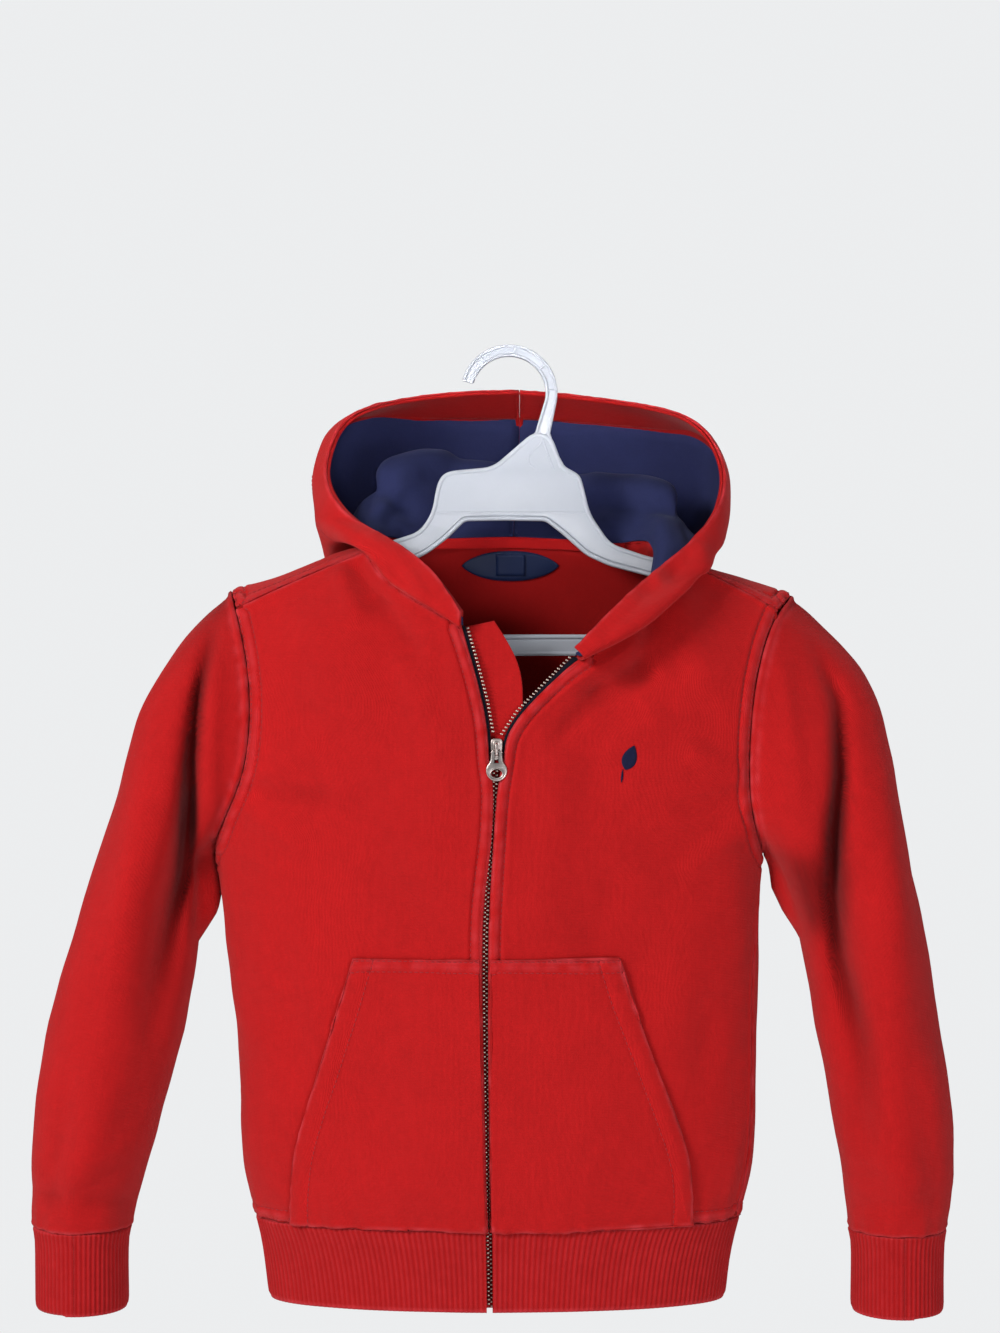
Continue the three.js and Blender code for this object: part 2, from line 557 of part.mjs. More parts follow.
// Hood: ribs from the neck seam up over the near crest, down into the bag behind, up to the outer roll and
// forward to the rim. share runs along the rim from the left corner to the right one.
const HOOD_COLUMNS = ["share", "x", "y", "z"];
const HOOD = {
  crest: table(HOOD_COLUMNS,
    [0, -31, -47, -161], [0.075, -54, -45, -142], [0.11, -67, -42, -134], [0.15, -80, -37, -128],
    [0.185, -90, -24, -117], [0.22, -98, -10, -109], [0.25, -98, 8, -98], [0.28, -92, 22, -85], [0.34, -80, 38, -64], [0.4, -56, 48, -49], [0.45, -34, 52, -56],
    [0.5, 2, 55, -60], [0.55, 32, 54, -63], [0.6, 62, 50, -66], [0.66, 86, 40, -70],
    [0.72, 99, 24, -86], [0.75, 102, 12, -96], [0.78, 104, -8, -107], [0.815, 98, -22, -121], [0.85, 90, -33, -134],
    [0.925, 66, -50, -163], [1, 36, -53, -180]),
  bag: table(HOOD_COLUMNS,
    [0, -31.5, -47, -159], [0.075, -56, -44, -137], [0.11, -70, -42, -129], [0.15, -85, -35, -120],
    [0.185, -99, -17, -111], [0.22, -110, 4, -107], [0.25, -113, 28, -119], [0.28, -110, 53, -144], [0.34, -96, 82, -184], [0.4, -74, 94, -214],
    [0.45, -40, 98, -232], [0.5, 0, 100, -240], [0.55, 40, 98, -233], [0.6, 74, 94, -216],
    [0.66, 98, 84, -186], [0.72, 114, 50, -144], [0.75, 118, 22, -120], [0.78, 119, -8, -117],
    [0.815, 111, -24, -127], [0.85, 99, -35, -138], [0.925, 69, -53, -165], [1, 37, -55, -181]),
  roll: table(HOOD_COLUMNS,
    [0, -31.2, -48, -157], [0.075, -55, -43, -133], [0.11, -70, -40, -123], [0.15, -87, -33, -112],
    [0.185, -102, -16, -103], [0.22, -116, 0, -99],
    [0.28, -121, 26, -85], [0.34, -124, 44, -60], [0.37, -117, 55, -41], [0.4, -100, 66, -33],
    [0.45, -55, 80, -31], [0.5, 4, 86, -30], [0.55, 58, 82, -32], [0.6, 103, 68, -38],
    [0.66, 130, 46, -55], [0.72, 133, 20, -86], [0.75, 130, 2, -101], [0.78, 124, -16, -114],
    [0.815, 116, -33, -126], [0.85, 105, -43, -138],
    [0.925, 70, -59, -163], [1, 39, -60, -180]),
  rim: table(HOOD_COLUMNS,
    [0, -30.6, -49, -154.6], [0.08, -49.5, -40, -128.6], [0.16, -76.4, -27, -109.3], [0.22, -97.9, -14, -96.1],
    [0.28, -112, 0, -76.5], [0.34, -112, 18, -55], [0.37, -106, 29, -38], [0.4, -92, 38, -27],
    [0.45, -52.3, 55, -15.9], [0.5, 4, 62, -12], [0.55, 54, 58, -17.4], [0.6, 94, 45, -25.7],
    [0.66, 119, 26, -44.4], [0.72, 127, 4, -73.8], [0.78, 115, -20, -101.2], [0.84, 92.4, -38, -122.8],
    [0.9, 67.2, -48, -143.1], [0.95, 49.4, -56, -159.5], [1, 34.4, -57, -175.7]),
};
const HOOD_CLOTH = 2.0;
const HOOD_STAND = 5; // how far the hood stands straight up from the neck seam
// How far the hood's own surface keeps from the body's, from the neck seam to the rim.
const HOOD_CLEAR = table(
  ["at", "left", "right"],
  [0, 0, 0], [0.125, 5, 5], [0.25, 5.8, 6], [0.625, 6, 6.2], [0.75, 6.5, 8], [0.875, 7, 10], [1, 7, 11.5],
);
const SHOULDER_CLEAR = 0.7; // added share of it where the hood crosses the shoulder's ridge
const CREST_ROLL = 0.13; // share of the way down to the bag over which the crest turns
const SHORT_FALL = 36; // a rib that falls less than this into the bag has a simpler fold
const FACING_WIDTH = 25;
const hoodKnot = (name, share) => vec(...["x", "y", "z"].map((c) => read(HOOD[name], c, share)));

function clearOfBody(p, need) {
  const depth = read(BODY, p.y < 0 ? "front" : "back", p.z) * Math.cos(sideAngle(p.x, p.z)) ** SECTION_POWER;
  const sine = Math.min(1, Math.abs(p.y) / Math.max(depth, 1));
  const cosine = Math.sqrt(1 - sine * sine);
  const top = ridge(p.x) - YOKE_DROP * (1 - cosine);
  const n = vec(0, Math.sign(p.y) * YOKE_DROP * sine, depth * cosine).normalize();
  const surface = sine < 1 || p.z > top ? (p.z - top) * n.z : Math.abs(p.y) - depth;
  const away = sine < 1 ? n : vec(0, Math.sign(p.y), 0);
  return surface < need ? p.addScaledVector(away, need - surface) : p;
}
function hoodRib(index) {
  const share = hoodShares[index];
  const [crest, bag, roll, rim] = ["crest", "bag", "roll", "rim"].map((k) => hoodKnot(k, share));
  const fall = crest.distanceTo(bag);
  const turn = crest.clone().lerp(bag, CREST_ROLL).add(vec(0, Math.min(7, fall * 0.06), Math.min(9, fall * 0.07)));
  const near = crest.clone().lerp(bag, 0.55).add(vec(0, -fall * 0.06, 0));
  const far = bag.clone().lerp(roll, 0.45).add(vec(0, Math.max(0, bag.distanceTo(roll) - 20) * 0.12, 0));
  const seam = neckPoints[index];
  const body = index % 2 ? neckSeam[(index - 1) / 2].out.clone().add(neckSeam[(index + 1) / 2].out) : neckSeam[index / 2].out.clone();
  const stand = seam.clone().addScaledVector(body.normalize(), HOOD_STAND);
  const knots = [seam, stand, crest, turn, near, bag, far, roll, rim];
  const overShoulder = 1 + SHOULDER_CLEAR * Math.exp(-(((Math.abs(share - 0.5) - 0.3) / 0.05) ** 2));
  const side = share < 0.5 ? "left" : "right";
  knots.forEach((p, k) => k > 1 && clearOfBody(p, read(HOOD_CLEAR, side, k / 8) * (k < 6 ? overShoulder : 1)));
  if (fall < SHORT_FALL) knots.splice(0, 9, ...(share < 0.13 ? [seam, stand, stand.clone().lerp(rim, 0.5).addScaledVector(body, 1), rim]
    : [seam, stand, crest, bag, roll, rim]));
  return new THREE.CatmullRomCurve3(knots, false, "centripetal");
}
// A rib's points. The last three are where the turned-in facing ends, its middle and the rim.
function ribPoints(rib) {
  const total = rib.getLength();
  const width = Math.min(FACING_WIDTH, total * 0.25);
  const end = 1 - width / total;
  const edge = [end, (end + 1) / 2, 1].map((s) => rib.getPointAt(s));
  if (rib.points.length < 9) return [0, ...steps(HOOD_STEPS.length - 2, HOOD_STAND / total, end * 0.92)].map((s) => rib.getPointAt(s)).concat(edge);
  return [...HOOD_STEPS.map((s) => rib.getPoint(s)), ...edge];
}
const HOOD_STEPS = [0, 0.125, 0.19, 0.25, 0.31, 0.375, 0.5, 0.57, 0.625, 0.68, 0.75, 0.83];
const hoodGrid = hoodShares.map((share, i) => ribPoints(hoodRib(i)));
// Normals from the neighbours on the grid, away from the lining.
const hoodRows = hoodGrid[0].map((_, j) => hoodGrid.map((rib, i) => {
  const n = hoodGrid.length - 1;
  const m = rib.length - 1;
  const along = hoodGrid[Math.min(i + 1, n)][j].clone().sub(hoodGrid[Math.max(i - 1, 0)][j]);
  const up = rib[Math.min(j + 1, m)].clone().sub(rib[Math.max(j - 1, 0)]);
  return { at: rib[j], out: up.cross(along).normalize() };
}));
const neckNormals = neckSeam.map((p, i) => hoodRows[0][i * 2].out.clone().add(p.out).normalize());
hoodRows[0].forEach((c, i) => {
  c.out = i % 2 ? neckNormals[(i - 1) / 2].clone().add(neckNormals[(i + 1) / 2]).normalize() : neckNormals[i / 2];
});

// The body's panels, their neck edges mitred with the hood's.
for (const side of ["left", "right"]) {
  const grid = gridOf(EDGE_COLUMNS, frontRows, frontPlace[side]);
  NECK_ROWS.forEach((v, k) => {
    grid[LOWER_ROWS + 7 + k][0].out = neckNormals[side === "left" ? k : neckNormals.length - 1 - k];
  });
  add("front_" + side, wall(trim(grid), 0, FLEECE), "red_fleece");
}
const backGrid = gridOf(backColumns, backRows, backPlace);
steps(HALF_NECK_STEPS * 2).forEach((_, k) => {
  backGrid[backRows.length - 1][SHOULDER_COLUMNS + k].out = neckNormals[3 + k];
});
add("back", wall(trim(trim(backGrid), "lr", 0.5), 0, FLEECE), "red_fleece");

// Hood panels, split at the centre seam, with their facing and lining.
const HALF_HOOD = (hoodShares.length - 1) / 2;
const FACING_ROW = HOOD_STEPS.length;
for (const side of ["left", "right"]) {
  const [from, to] = side === "left" ? [0, HALF_HOOD + 1] : [HALF_HOOD, hoodShares.length];
  const half = hoodRows.map((row) => row.slice(from, to));
  const centre = side === "left" ? "r" : "l";
  add("hood_outer_" + side, wall(trim(half, "b" + centre), 0, HOOD_CLOTH), "red_fleece");
  const lining = trim(trim(half.slice(0, FACING_ROW + 1), "bt" + centre), "t", 0.4);
  add("hood_lining_" + side, wall(lining, -LINING_GAP - JERSEY, -LINING_GAP), "navy_jersey");
  const facing = trim(half.slice(FACING_ROW), "b" + centre);
  add("hood_facing_" + side, wall(facing, -0.5 - FACING, -0.5), "red_fleece");
}

// Waistband: one strip from the zip round the back to the zip.
const WAIST_STEPS = 40;
const waistTurns = (z) => [sideAngle(zipEdgeX("left", z), z), sideAngle(zipEdgeX("right", z), z) - 2 * Math.PI];
const waistband = gridOf(steps(WAIST_STEPS), [HEM, -540, -521, HEM_SEAM], (u, z) => {
  const [from, to] = waistTurns(z);
  const turn = lerp(from, to, u);
  const p = bodyPoint(turn, z);
  return { at: p, out: z === HEM_SEAM ? bodyNormal(turn, z) : vec(p.x - centreAt(z), p.y * 3, 0).normalize() };
});
add("waistband", wall(trim(waistband, "lrt"), 0, RIB), "red_rib");

// A place lying on a panel's own facets: {at, out} at fractional column i and row j of its grid.
function onGrid(grid, i, j) {
  const [i0, j0] = [clamp(Math.floor(i), 0, grid[0].length - 2), clamp(Math.floor(j), 0, grid.length - 2)];
  const [a, b] = [i - i0, j - j0];
  const mix = (key) => grid[j0][i0][key].clone().lerp(grid[j0][i0 + 1][key], a)
    .lerp(grid[j0 + 1][i0][key].clone().lerp(grid[j0 + 1][i0 + 1][key], a), b);
  return { at: mix("at"), out: mix("out").normalize() };
}
// The same, found from x and z as seen from the front.
function onPanel(grid, x, z, i, j) {
  for (let k = 0; k < 24; k++) {
    const here = onGrid(grid, i, j).at;
    const di = onGrid(grid, i + 0.05, j).at.sub(here).multiplyScalar(20);
    const dj = onGrid(grid, i, j + 0.05).at.sub(here).multiplyScalar(20);
    const det = di.x * dj.z - di.z * dj.x;
    const [ex, ez] = [x - here.x, z - here.z];
    i += clamp((ex * dj.z - ez * dj.x) / det, -1, 1);
    j += clamp((di.x * ez - di.z * ex) / det, -1, 1);
  }
  return onGrid(grid, i, j);
}

// Pockets: each lies on its front panel, from the zip's edge to a slanting mouth.
const POCKET = 2.0;
const POCKET_LIFT = 1.0; // clear of the panel's facets
const POCKET_TOP = -356.5;
const POCKET_MOUTH = table(
  ["z", "left", "right"],
  [-515, -131, 104], [-475, -129, 102], [-440, -119, 90.5], [-400, -107, 75], [-356.5, -94, 60.5],
);
const POCKET_IN = 1.2; // from the zip's edge
const pocketRows = [-514.7, -490, -475, -457, -430, -405, -380, POCKET_TOP];
for (const side of ["left", "right"]) {
  const sign = side === "left" ? -1 : 1;
  const grid = gridOf(EDGE_COLUMNS, frontRows, frontPlace[side]);
  const pocket = gridOf([0, 0.07, 0.3, 0.55, 0.8, 0.93, 1], pocketRows, (u, z) => {
    const x = lerp(zipEdgeX(side, z) + sign * POCKET_IN, read(POCKET_MOUTH, side, z), u);
    return onPanel(grid, x, z, 4, 3);
  });
  add("pocket_" + side, wall(pocket, FLEECE + POCKET_LIFT, FLEECE + POCKET_LIFT + POCKET), "red_fleece");
}

// Along a front's edge from the hem to the neck corner: at, out, and across from the cloth towards the zip.
const edgeRows = [...frontRows.filter((v) => v <= 0.71)];
function edgeFrame(side, v) {
  const edge = frontPlace[side](0, v);
  const inside = frontPlace[side](0.03, v);
  const across = edge.at.clone().sub(inside.at).normalize();
  const out = yokeOut(side, v);
  return { at: edge.at, out, across, z: edge.at.z };
}
function yokeOut(side, v) {
  if (v < 0) return frontPlace[side](0, v).out;
  const [turn, angle] = upperFront[side](0, v);
  return yokeNormal(turn, angle);
}
const hemFrames = (side) => [HEM + 2, -540, -521].map((z) => {
  const turn = sideAngle(zipEdgeX(side, z), z);
  return { at: bodyPoint(turn, z), out: bodyNormal(turn, z), across: vec(side === "left" ? 1 : -1, 0, 0), z };
});
const edgeLine = { left: [], right: [] };
for (const side of ["left", "right"])
  edgeLine[side] = [...hemFrames(side), ...edgeRows.map((v) => edgeFrame(side, v))];
const SLIDER_TOP = -225.6;
const TAPE = { from: -11, open: 1.8, atSlider: 1, closed: 2.6, depth: 0.5, thick: 0.9 };
const TEETH = { from: 2.1, to: 4.5, depth: 0.1, thick: 1.9 };
const strip = (frames, lo, hi) => frames.map((f) => [lo, hi].map((k) => ({
  at: f.at.clone().addScaledVector(f.across, typeof k === "function" ? k(f) : k), out: f.out })));
for (const side of ["left", "right"]) {
  const reach = (f) => (f.z > -235 ? TAPE.open : f.z > -250 ? TAPE.atSlider : read(ZIP, "open", f.z) - TAPE.closed);
  const tape = strip(edgeLine[side], TAPE.from, reach);
  add("zip_tape_" + side, wall(tape, -TAPE.depth - TAPE.thick, -TAPE.depth), "navy_tape");
  const open = edgeLine[side].filter((f) => f.z > SLIDER_TOP - 2);
  add("zip_teeth_" + side, wall(strip(open, TEETH.from, TEETH.to), -TEETH.depth - TEETH.thick, -TEETH.depth), "zip_metal");
}
// The closed zip's meshed teeth.
const CHAIN = { half: 2.1, depth: 0.7, thick: 1.7 };
const chainRows = [HEM + 3, -540, -521, -490, -450, -415, -379, -345, -318, -288, -262, -242];
const chain = chainRows.map((z) => [-1, 1].map((s) => {
  const x = read(ZIP, "x", z);
  const turn = sideAngle(x, z);
  return { at: bodyPoint(turn, z).add(vec(s * CHAIN.half, 0, 0)), out: bodyNormal(turn, z) };
}));
add("zip_chain", wall(chain, -CHAIN.depth - CHAIN.thick, -CHAIN.depth), "zip_metal");

// Flap behind the zip, from the left front's edge; its top corner shows in the open neck.
const FLAP = { from: -12, depth: 3.4, thick: 2.0, sewn: 1.6 };
const FLAP_EDGE = table(["z", "x"], [-565, 5], [-290, 6], [-235, 5.5], [-217, 3.5], [-205, 5.5], [-193, 6], [-180, 0], [-163, -12]);
const flap = edgeLine.left.map((f) => {
  const to = (read(FLAP_EDGE, "x", f.z) - f.at.x) / f.across.x;
  return [FLAP.from, 0, to * 0.5, to].map((k) => ({
    at: f.at.clone().addScaledVector(f.across, k).addScaledVector(f.out, k === FLAP.from ? FLAP.sewn : 0), out: f.out,
  }));
});
add("zip_flap", wall(flap, -FLAP.depth - FLAP.thick, -FLAP.depth), "red_fleece");

// Neck tape over the seam, and the blank label under it, both on the back's inside.
const neckColumns = steps(6).map((_, k) => SHOULDER_COLUMNS + 3 + k);
const TAPE_HEIGHT = 6.5;
const neckTape = [1, 0].map((top) => neckColumns.map((i) => {
  const seam = backGrid[backRows.length - 1][i];
  const below = backGrid[backRows.length - 2][i];
  const s = (top ? 0.6 : TAPE_HEIGHT) / seam.at.distanceTo(below.at);
  return { at: seam.at.clone().lerp(below.at, s), out: seam.out.clone().lerp(below.out, s).normalize() };
}));
add("neck_tape", wall(neckTape, -1.6, -0.7), "red_fleece");
const LABEL = { x: -2, z: -124.5, halfWidth: 30, halfHeight: 9, thick: 0.6, lift: 0.6 };
const label = gridOf([-1, -0.8, -0.5, 0, 0.5, 0.8, 1], [-1, 0, 1], (u, v) => {
  const half = LABEL.halfHeight * Math.sqrt(Math.max(0.12, 1 - Math.abs(u) ** 3));
  return onPanel(backGrid, LABEL.x + u * LABEL.halfWidth, LABEL.z + v * half, 15, backRows.length - 3);
});
add("neck_label", wall(label, -LABEL.lift - LABEL.thick, -LABEL.lift), "navy_jersey");

// Solids that are cut or joined.
const wasm = await Module();
wasm.setup();
function solidOf(geometry) {
  const bare = new THREE.BufferGeometry().setAttribute("position", geometry.getAttribute("position"));
  const merged = mergeVertices(bare, 1e-4);
  return new wasm.Manifold(new wasm.Mesh({
    numProp: 3,
    vertProperties: merged.attributes.position.array,
    triVerts: new Uint32Array(merged.index.array),
  }));
}
function geometryOf(solid) {
  const mesh = solid.getMesh();
  const points = new Float32Array(mesh.numVert * 3);
  for (let i = 0; i < mesh.numVert; i++)
    points.set(mesh.vertProperties.subarray(i * mesh.numProp, i * mesh.numProp + 3), i * 3);
  const g = new THREE.BufferGeometry().setAttribute("position", new THREE.BufferAttribute(points, 3));
  g.setIndex(new THREE.BufferAttribute(new Uint32Array(mesh.triVerts), 1));
  g.computeVertexNormals();
  return g;
}
const joined = (...solids) => geometryOf(solids.reduce((a, b) => a.add(b)));
const outline = (points) => new THREE.Shape(points.map(([x, z]) => new THREE.Vector2(x, z)));

// A flat shape drawn in X and Z, with thickness about a Y.
function plate(shape, y, thickness, bevel = 0) {
  const g = new THREE.ExtrudeGeometry(shape, {
    depth: thickness - 2 * bevel, curveSegments: 10, bevelEnabled: bevel > 0,
    bevelThickness: bevel, bevelSize: bevel, bevelOffset: -bevel, bevelSegments: 1,
  });
  g.translate(0, 0, -(thickness - 2 * bevel) / 2);
  g.rotateX(Math.PI / 2);
  return solidOf(g.translate(0, y, 0));
}

// Hanger: a flat plate with arms and a bar, and a hook whose inside top is the origin.
const HANGER = { thick: 5, hookThick: 4.4, bevel: 0.9, underRidge: 5 };
const HOOK = { x: -3, z: -21.8, outer: 29.5, inner: 21.8, tip: 165, shank: -10 };
const armTop = (x) => [x, ridge(x) - HANGER.underRidge];
const frame = outline([
  [12, -45], [-12.7, -66.3], [-38.6, -68.7], [-43.5, -71.5], [-46.4, -77.1], [-49.4, -94], [-57, -105.4],
  armTop(-75), armTop(-100), armTop(-125), armTop(-146), [-151, -137], [-153, -146], [-150, -160],
  [-142, -172], [-129, -179], [-114, -180], [114, -180], [129, -179], [142, -173], [150, -162],
  [153, -149], [151, -141], armTop(146), armTop(125), [100, -124], [80, -120], [58, -112.5], [45.8, -94.6],
  [41.6, -77.1], [40, -72], [36.7, -69.3], [29.5, -65.7], [22.5, -47],
]);
frame.holes.push(outline([
  [-30.7, -96], [20, -96], [31, -104.5], [45, -117], [58, -123], [100, -134], [138, -145.5], [143, -150],
  [140, -160], [133, -167], [120, -170], [-120, -170], [-133, -166], [-140, -158], [-142, -148], [-137, -142],
  [-100, -131.5], [-62, -120], [-53, -115.5], [-42, -107.2],
]));
const rad = Math.PI / 180;
const hook = new THREE.Shape();
hook.absarc(HOOK.x, HOOK.z, HOOK.outer, HOOK.tip * rad, HOOK.shank * rad, true);
hook.lineTo(22, -48);
hook.lineTo(12.5, -48);
hook.absarc(HOOK.x, HOOK.z, HOOK.inner, HOOK.shank * rad, HOOK.tip * rad, false);
add("hanger", joined(plate(frame, 0, HANGER.thick, HANGER.bevel), plate(hook, 0, HANGER.hookThick, HANGER.bevel)),
  "white_plastic");

// Slider: a front plate and a back plate about a core, with the pull's bridge in front.
const SLIDER = { x: -10.4, top: -228, bottom: -241, halfTop: 3.7, halfBottom: 2.9, face: 2.0 };
const sliderY = bodyPoint(sideAngle(SLIDER.x, -234), -234).y;
const across = (half, top, bottom, cut) => outline([
  [SLIDER.x - half[0] + cut, top], [SLIDER.x + half[0] - cut, top], [SLIDER.x + half[0], top - cut],
  [SLIDER.x + half[1], bottom + cut], [SLIDER.x + half[1] - cut, bottom], [SLIDER.x - half[1] + cut, bottom],
  [SLIDER.x - half[1], bottom + cut], [SLIDER.x - half[0], top - cut],
]);
const faceShape = across([SLIDER.halfTop, SLIDER.halfBottom], SLIDER.top, SLIDER.bottom, 1.4);
const coreShape = across([1.4, 1.4], SLIDER.top - 0.8, SLIDER.bottom + 1, 0.3);
const BRIDGE = { top: -230.5, bottom: -238.5, bar: 1.1, reach: 4.0, half: 0.8, cut: 1.4 };
const ringPart = (near, inset) => outline([
  [near, BRIDGE.top - inset], [BRIDGE.reach - BRIDGE.cut, BRIDGE.top - inset],
  [BRIDGE.reach - inset, BRIDGE.top - BRIDGE.cut], [BRIDGE.reach - inset, BRIDGE.bottom + BRIDGE.cut],
  [BRIDGE.reach - BRIDGE.cut, BRIDGE.bottom + inset], [near, BRIDGE.bottom + inset],
]);
const bridge = plate(ringPart(-0.4, 0), 0, BRIDGE.half * 2).subtract(plate(ringPart(0, BRIDGE.bar), 0, BRIDGE.half * 4))
  .rotate([0, 0, -90]).translate([SLIDER.x, sliderY - SLIDER.face, 0]);
add("zip_slider", joined(
  plate(faceShape, sliderY - SLIDER.face / 2 + 0.05, SLIDER.face + 0.1),
  plate(coreShape, sliderY + 1, 2.4),
  plate(faceShape, sliderY + 2.4, 1.2),
  bridge,
), "slider_metal");

// Pull tab, hanging from the bridge; it turns about its top bar.
const PULL = { hinge: -235.75, out: 3.5, thick: 1.2, slotEnd: -242.3, ringZ: -246.8, ring: 6.2 };
const tab = new THREE.Shape();
tab.moveTo(SLIDER.x - 2.6, PULL.hinge + 0.65);
tab.lineTo(SLIDER.x + 2.6, PULL.hinge + 0.65);
tab.lineTo(SLIDER.x + 3.2, PULL.hinge);
tab.lineTo(SLIDER.x + 3.4, -240.5);
tab.absarc(SLIDER.x, PULL.ringZ, PULL.ring, 50 * rad, 130 * rad, true);
tab.lineTo(SLIDER.x - 3.4, -240.5);
tab.lineTo(SLIDER.x - 3.2, PULL.hinge);
const eye = outline(steps(20).slice(1).map((t) => [
  SLIDER.x + 3.8 * Math.cos(t * 2 * Math.PI), -248.4 + 3.1 * Math.sin(t * 2 * Math.PI)]));
const slot = outline([
  [SLIDER.x - 1.25, PULL.hinge - 0.65], [SLIDER.x + 1.25, PULL.hinge - 0.65],
  [SLIDER.x + 1.25, PULL.slotEnd], [SLIDER.x - 1.25, PULL.slotEnd],
]);
const pullY = sliderY - PULL.out;
add("zip_pull", joined(plate(tab, pullY, PULL.thick)
  .subtract(plate(eye, pullY, PULL.thick * 3)).subtract(plate(slot, pullY, PULL.thick * 3))), "slider_metal");

export default hoodie;
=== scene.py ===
# %% [markdown]
# A child's zip-front hoodie on a plastic hanger, dressed over its solid model.
# The solids already have the cut and the large folds. Here each cloth panel becomes a fine
# sheet of the same form, and gets what sewing, washing and wearing give it: sunk seams, rows of
# stitches, soft creases, faded edges and knitted cloth. All sizes below are in millimetres, and
# the helper `mm` turns them into Blender's metres.

# %% Load the solid model
import json
import math

import bmesh
import bpy
import numpy as np
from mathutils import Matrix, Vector, kdtree, noise
from mathutils.bvhtree import BVHTree

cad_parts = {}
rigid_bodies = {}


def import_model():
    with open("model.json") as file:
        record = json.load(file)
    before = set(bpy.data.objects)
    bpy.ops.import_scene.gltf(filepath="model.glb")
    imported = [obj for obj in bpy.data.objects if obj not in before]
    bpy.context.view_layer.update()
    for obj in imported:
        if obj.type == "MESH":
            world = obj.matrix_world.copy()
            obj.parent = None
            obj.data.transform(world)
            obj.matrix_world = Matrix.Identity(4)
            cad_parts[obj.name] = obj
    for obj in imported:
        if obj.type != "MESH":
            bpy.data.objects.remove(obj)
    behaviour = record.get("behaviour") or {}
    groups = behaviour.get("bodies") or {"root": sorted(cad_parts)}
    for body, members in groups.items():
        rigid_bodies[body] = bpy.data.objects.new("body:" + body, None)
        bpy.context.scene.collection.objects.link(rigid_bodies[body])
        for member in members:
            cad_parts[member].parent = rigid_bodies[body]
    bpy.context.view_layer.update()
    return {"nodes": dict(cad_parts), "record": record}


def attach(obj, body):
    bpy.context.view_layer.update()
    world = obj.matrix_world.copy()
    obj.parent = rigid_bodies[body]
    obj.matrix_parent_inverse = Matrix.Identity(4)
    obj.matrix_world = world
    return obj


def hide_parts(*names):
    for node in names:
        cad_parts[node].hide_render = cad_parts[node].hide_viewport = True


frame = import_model()
mm = 0.001

# %% [markdown]
# ## Camera
# The photograph was taken square on from a normal distance. A long lens 1.4 m away, level with
# the chest, gives the same small amount of perspective.

# %% Camera
camera_data = bpy.data.cameras.new("camera")
camera_data.sensor_fit = "VERTICAL"
camera_data.sensor_height = 36
camera_data.lens = 62.76
camera = bpy.data.objects.new("camera", camera_data)
camera.location = (-8.4 * mm, -1400 * mm, -186.4 * mm)
camera.rotation_euler = (math.radians(90), 0, 0)
bpy.context.scene.collection.objects.link(camera)
bpy.context.scene.camera = camera

# %% [markdown]
# ## Light and floor
# Fleece shows its form in soft light from one side. A large window-like lamp up on the left does
# most of the work, a weaker one on the right fills its shadows, and a lamp behind draws the edges.
# A small narrow lamp in front brightens the hood's turned-in edge. The pale world does the rest,
# and the camera sees it brighter than it shines.


# %% Light and floor
def lamp(name, place, aim, size, watts, colour=(1, 1, 1)):
    data = bpy.data.lights.new(name, "AREA")
    data.shape = "RECTANGLE"
    data.size, data.size_y = size
    data.energy = watts
    data.color = colour
    obj = bpy.data.objects.new(name, data)
    obj.location = place
    obj.rotation_euler = (Vector(aim) - Vector(place)).to_track_quat("-Z", "Y").to_euler()
    bpy.context.scene.collection.objects.link(obj)
    return obj


ROOM_SHINES, ROOM_SEEN = 0.34, 1.0
middle = (0, 0, -0.28)
lamp("window", (-1.5, -1.55, 0.6), middle, (0.7, 0.6), 42, (1.0, 0.98, 0.96))
lamp("fill", (0.7, -1.8, -0.8), (0, 0, -0.1), (0.8, 0.8), 13, (0.95, 0.97, 1.0))
lamp("rim", (0.3, 1.5, 1.2), middle, (1.4, 0.8), 18)
bounce = lamp("bounce", (0.0, -1.1, -0.12), (0, 0, 0.07), (0.3, 0.1), 0.25, (1.0, 0.97, 0.95))
bounce.data.spread = math.radians(22)

world = bpy.data.worlds.new("pale_room")
world.use_nodes = True
backdrop = world.node_tree.nodes["Background"]
backdrop.inputs["Color"].default_value = (0.84, 0.85, 0.86, 1)
seen = world.node_tree.nodes.new("ShaderNodeLightPath").outputs["Is Camera Ray"]
strength = world.node_tree.nodes.new("ShaderNodeMapRange")
world.node_tree.links.new(seen, strength.inputs["Value"])
strength.inputs["To Min"].default_value = ROOM_SHINES
strength.inputs["To Max"].default_value = ROOM_SEEN
world.node_tree.links.new(strength.outputs[0], backdrop.inputs["Strength"])
bpy.context.scene.world = world
bpy.context.scene.view_settings.view_transform = "Standard"

bpy.ops.object.select_all(action="DESELECT")
bpy.ops.mesh.primitive_plane_add(size=4, location=(0, 0, -1.2))
floor = bpy.context.object
floor.name = "floor"

# %% [markdown]
# ## Fine cloth from a solid
# A panel's solid is a coarse wall of cloth: a front face, a back face and a narrow rim. To make
# it fine, a copy is merged into one skin, its triangles are paired back into the four-sided
# patches they came from, and the patches are subdivided smoothly. The rim's edges are creased
# first, so that the wall keeps its thickness and its corners. Points closer than 0.02 mm become
# one, an edge as long as the wall is thick belongs to the rim, and rim corners sharper than 38
# degrees stay sharp.


# %% One panel's fine mesh
def only(obj):
    """Selects one object and makes it active."""
    bpy.ops.object.select_all(action="DESELECT")
    obj.select_set(True)
    bpy.context.view_layer.objects.active = obj


def connected(faces):
    """Groups faces into connected parts."""
    left, groups = set(faces), []
    while left:
        stack, group = [left.pop()], []
        while stack:
            face = stack.pop()
            group.append(face)
            for edge in face.edges:
                for other in edge.link_faces:
                    if other in left:
                        left.remove(other)
                        stack.append(other)
        groups.append(group)
    return groups


